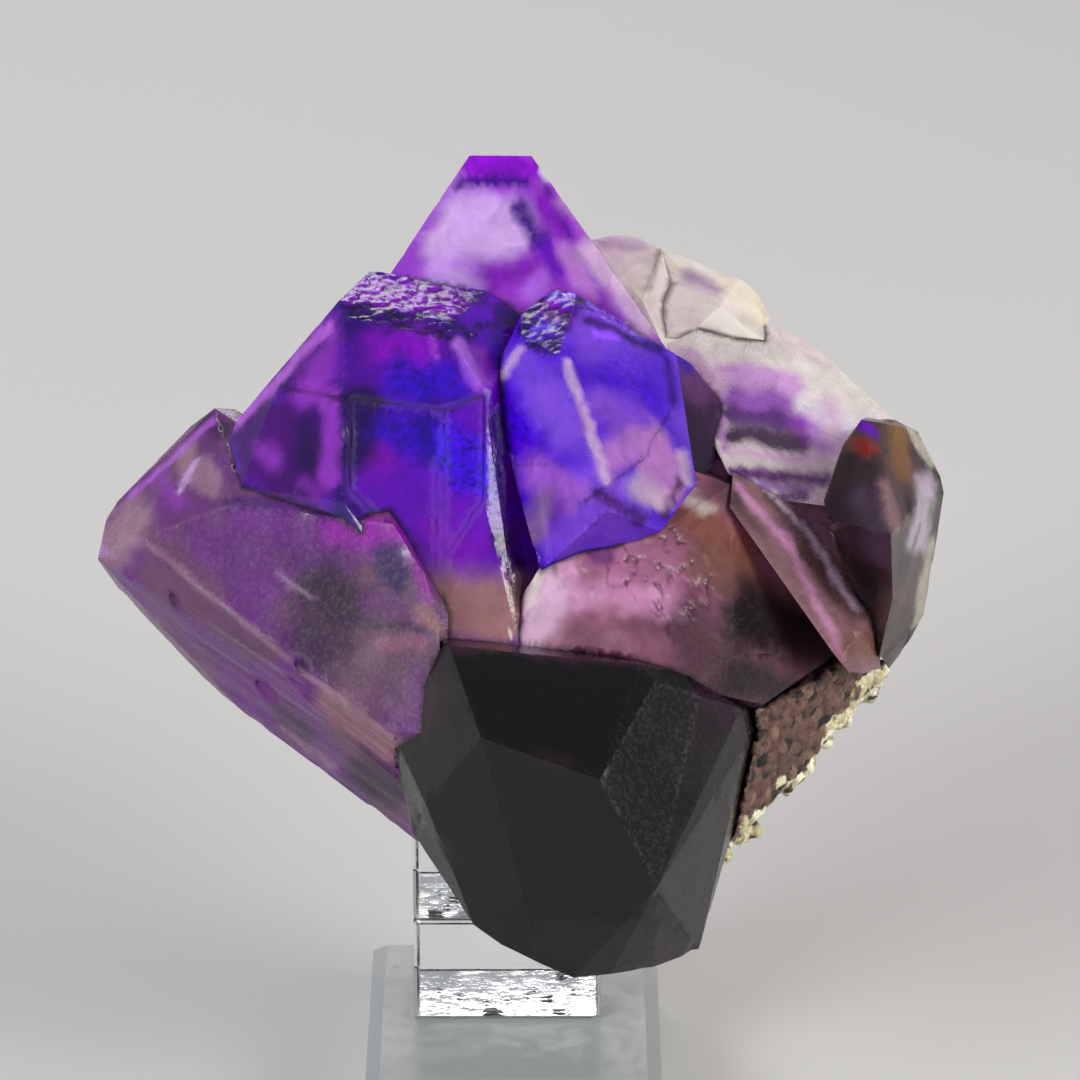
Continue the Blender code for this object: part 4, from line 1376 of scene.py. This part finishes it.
def glue_bubbles():
    """Flat bubbles and smears set in the bottom of the two risers."""
    bm = bmesh.new()
    draw = np.random.default_rng(17)
    for name in ("riser_upper", "riser_lower"):
        low, high = (np.array(corner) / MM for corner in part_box(name))
        room = (high - low - 2 * GLUE_BORDER)[:2]
        for _ in range(GLUE_SPOTS):
            size = GLUE_SIZES[0] + (GLUE_SIZES[1] - GLUE_SIZES[0]) * draw.random() ** 3
            x, y = low[:2] + GLUE_BORDER + room * draw.random(2) ** (1, 1.6)
            place = Vector((x, y, low[2] + GLUE_INSET)) * MM
            turn = Matrix.Rotation(draw.normal(0, 0.5), 4, "Z")
            flat = Matrix.Diagonal((size * MM, size * draw.uniform(0.4, 0.8) * MM, GLUE_DEPTH * MM, 1))
            lens = bmesh.ops.create_uvsphere(
                bm, u_segments=20, v_segments=6, radius=1, matrix=Matrix.Translation(place) @ turn @ flat
            )
            for vert in lens["verts"]:
                away = vert.co - place
                lobes = math.sin(3 * math.atan2(away.y, away.x) + x)
                bend = 1 + 0.25 * lobes * draw.uniform(0.8, 1)
                vert.co = place + Vector((away.x * bend, away.y * bend, away.z))
    made = object_from(bm, "glue_bubbles")
    made.data.shade_smooth()
    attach(made, BODY)
    made.data.materials.append(glue_material())


# The studio.


def aim(obj, target):
    direction = Vector(target) - obj.location
    obj.rotation_euler = direction.to_track_quat("-Z", "Y").to_euler()


def area_light(name, place, size, power, color):
    data = bpy.data.lights.new(name, "AREA")
    data.shape = "RECTANGLE"
    data.size, data.size_y = size
    data.energy = power
    data.color = color
    made = new_object(name, data)
    made.location = place
    aim(made, LIGHTS_AIM)


def make_camera():
    data = bpy.data.cameras.new("display_camera")
    data.sensor_width = CAMERA_SENSOR
    data.lens = CAMERA_LENS
    made = new_object("display_camera", data)
    made.location = CAMERA_PLACE
    aim(made, CAMERA_AIM)
    bpy.context.scene.camera = made


def make_floor(color):
    bm = bmesh.new()
    bmesh.ops.create_grid(bm, x_segments=2, y_segments=2, size=FLOOR_SIZE)
    floor = object_from(bm, "floor")
    material, tree, surface = new_material("floor_paper")
    set_inputs(tree, surface, {"Base Color": (*color, 1), "Roughness": 0.9, "Specular IOR Level": 0.1})
    floor.data.materials.append(material)


def make_stage(settings):
    make_floor(settings.floor_color)
    world = bpy.data.worlds.new("studio")
    world.use_nodes = True
    tree = world.node_tree
    set_inputs(tree, tree.nodes["Background"], {"Color": SKY_COLOR, "Strength": SKY_STRENGTH})
    bpy.context.scene.world = world
    for name, (place, size, power, color) in LIGHTS.items():
        area_light(name, place, size, power * settings.light, color)
    make_camera()
    bpy.context.scene.view_settings.view_transform = "Standard"


class OBJECT_OT_dress_crystals(bpy.types.Operator):
    """Give the crystal cluster its fine faces, colour zones and quartz"""

    bl_idname = "object.dress_crystals"
    bl_label = "Dress Crystals"

    def execute(self, context):
        make_crystals(context.scene.quartz_crystals)
        return {"FINISHED"}


class OBJECT_OT_dress_crust(bpy.types.Operator):
    """Cover the matrix crust with rock grains"""

    bl_idname = "object.dress_crust"
    bl_label = "Dress Crust"

    def execute(self, context):
        make_crust(context.scene.quartz_crust)
        return {"FINISHED"}


class OBJECT_OT_finish_stand(bpy.types.Operator):
    """Give the risers and the base plate their acrylic, and the risers their glue bubbles"""

    bl_idname = "object.finish_stand"
    bl_label = "Finish Stand"

    def execute(self, context):
        finish_stand(context.scene.quartz_stand)
        glue_bubbles()
        return {"FINISHED"}


class OBJECT_OT_set_stage(bpy.types.Operator):
    """Lay the floor and place the lights and the camera"""

    bl_idname = "object.set_quartz_stage"
    bl_label = "Set Stage"

    def execute(self, context):
        make_stage(context.scene.quartz_stage)
        return {"FINISHED"}


class VIEW3D_PT_quartz_cluster(bpy.types.Panel):
    """Steps that dress the cluster, in order"""

    bl_idname = "VIEW3D_PT_quartz_cluster"
    bl_label = "Quartz cluster"
    bl_space_type = "VIEW_3D"
    bl_region_type = "UI"
    bl_category = "Quartz cluster"

    def draw(self, context):
        for settings, operator in STEPS:
            box = self.layout.box()
            group = getattr(context.scene, settings)
            for name in group.__annotations__:
                box.prop(group, name)
            box.operator(operator)


STEPS = (
    ("quartz_crystals", "object.dress_crystals"),
    ("quartz_crust", "object.dress_crust"),
    ("quartz_stand", "object.finish_stand"),
    ("quartz_stage", "object.set_quartz_stage"),
)
GROUPS = {
    "quartz_crystals": CrystalSettings,
    "quartz_crust": CrustSettings,
    "quartz_stand": StandSettings,
    "quartz_stage": StageSettings,
}
CLASSES = (
    *GROUPS.values(),
    OBJECT_OT_dress_crystals,
    OBJECT_OT_dress_crust,
    OBJECT_OT_finish_stand,
    OBJECT_OT_set_stage,
    VIEW3D_PT_quartz_cluster,
)


def register():
    for item in CLASSES:
        bpy.utils.register_class(item)
    for name, group in GROUPS.items():
        setattr(bpy.types.Scene, name, bpy.props.PointerProperty(type=group))


def unregister():
    for name in GROUPS:
        delattr(bpy.types.Scene, name)
    for item in reversed(CLASSES):
        bpy.utils.unregister_class(item)


def main():
    register()
    bpy.ops.object.dress_crystals()
    bpy.ops.object.dress_crust()
    bpy.ops.object.finish_stand()
    bpy.ops.object.set_quartz_stage()


if __name__ == "__main__":
    main()
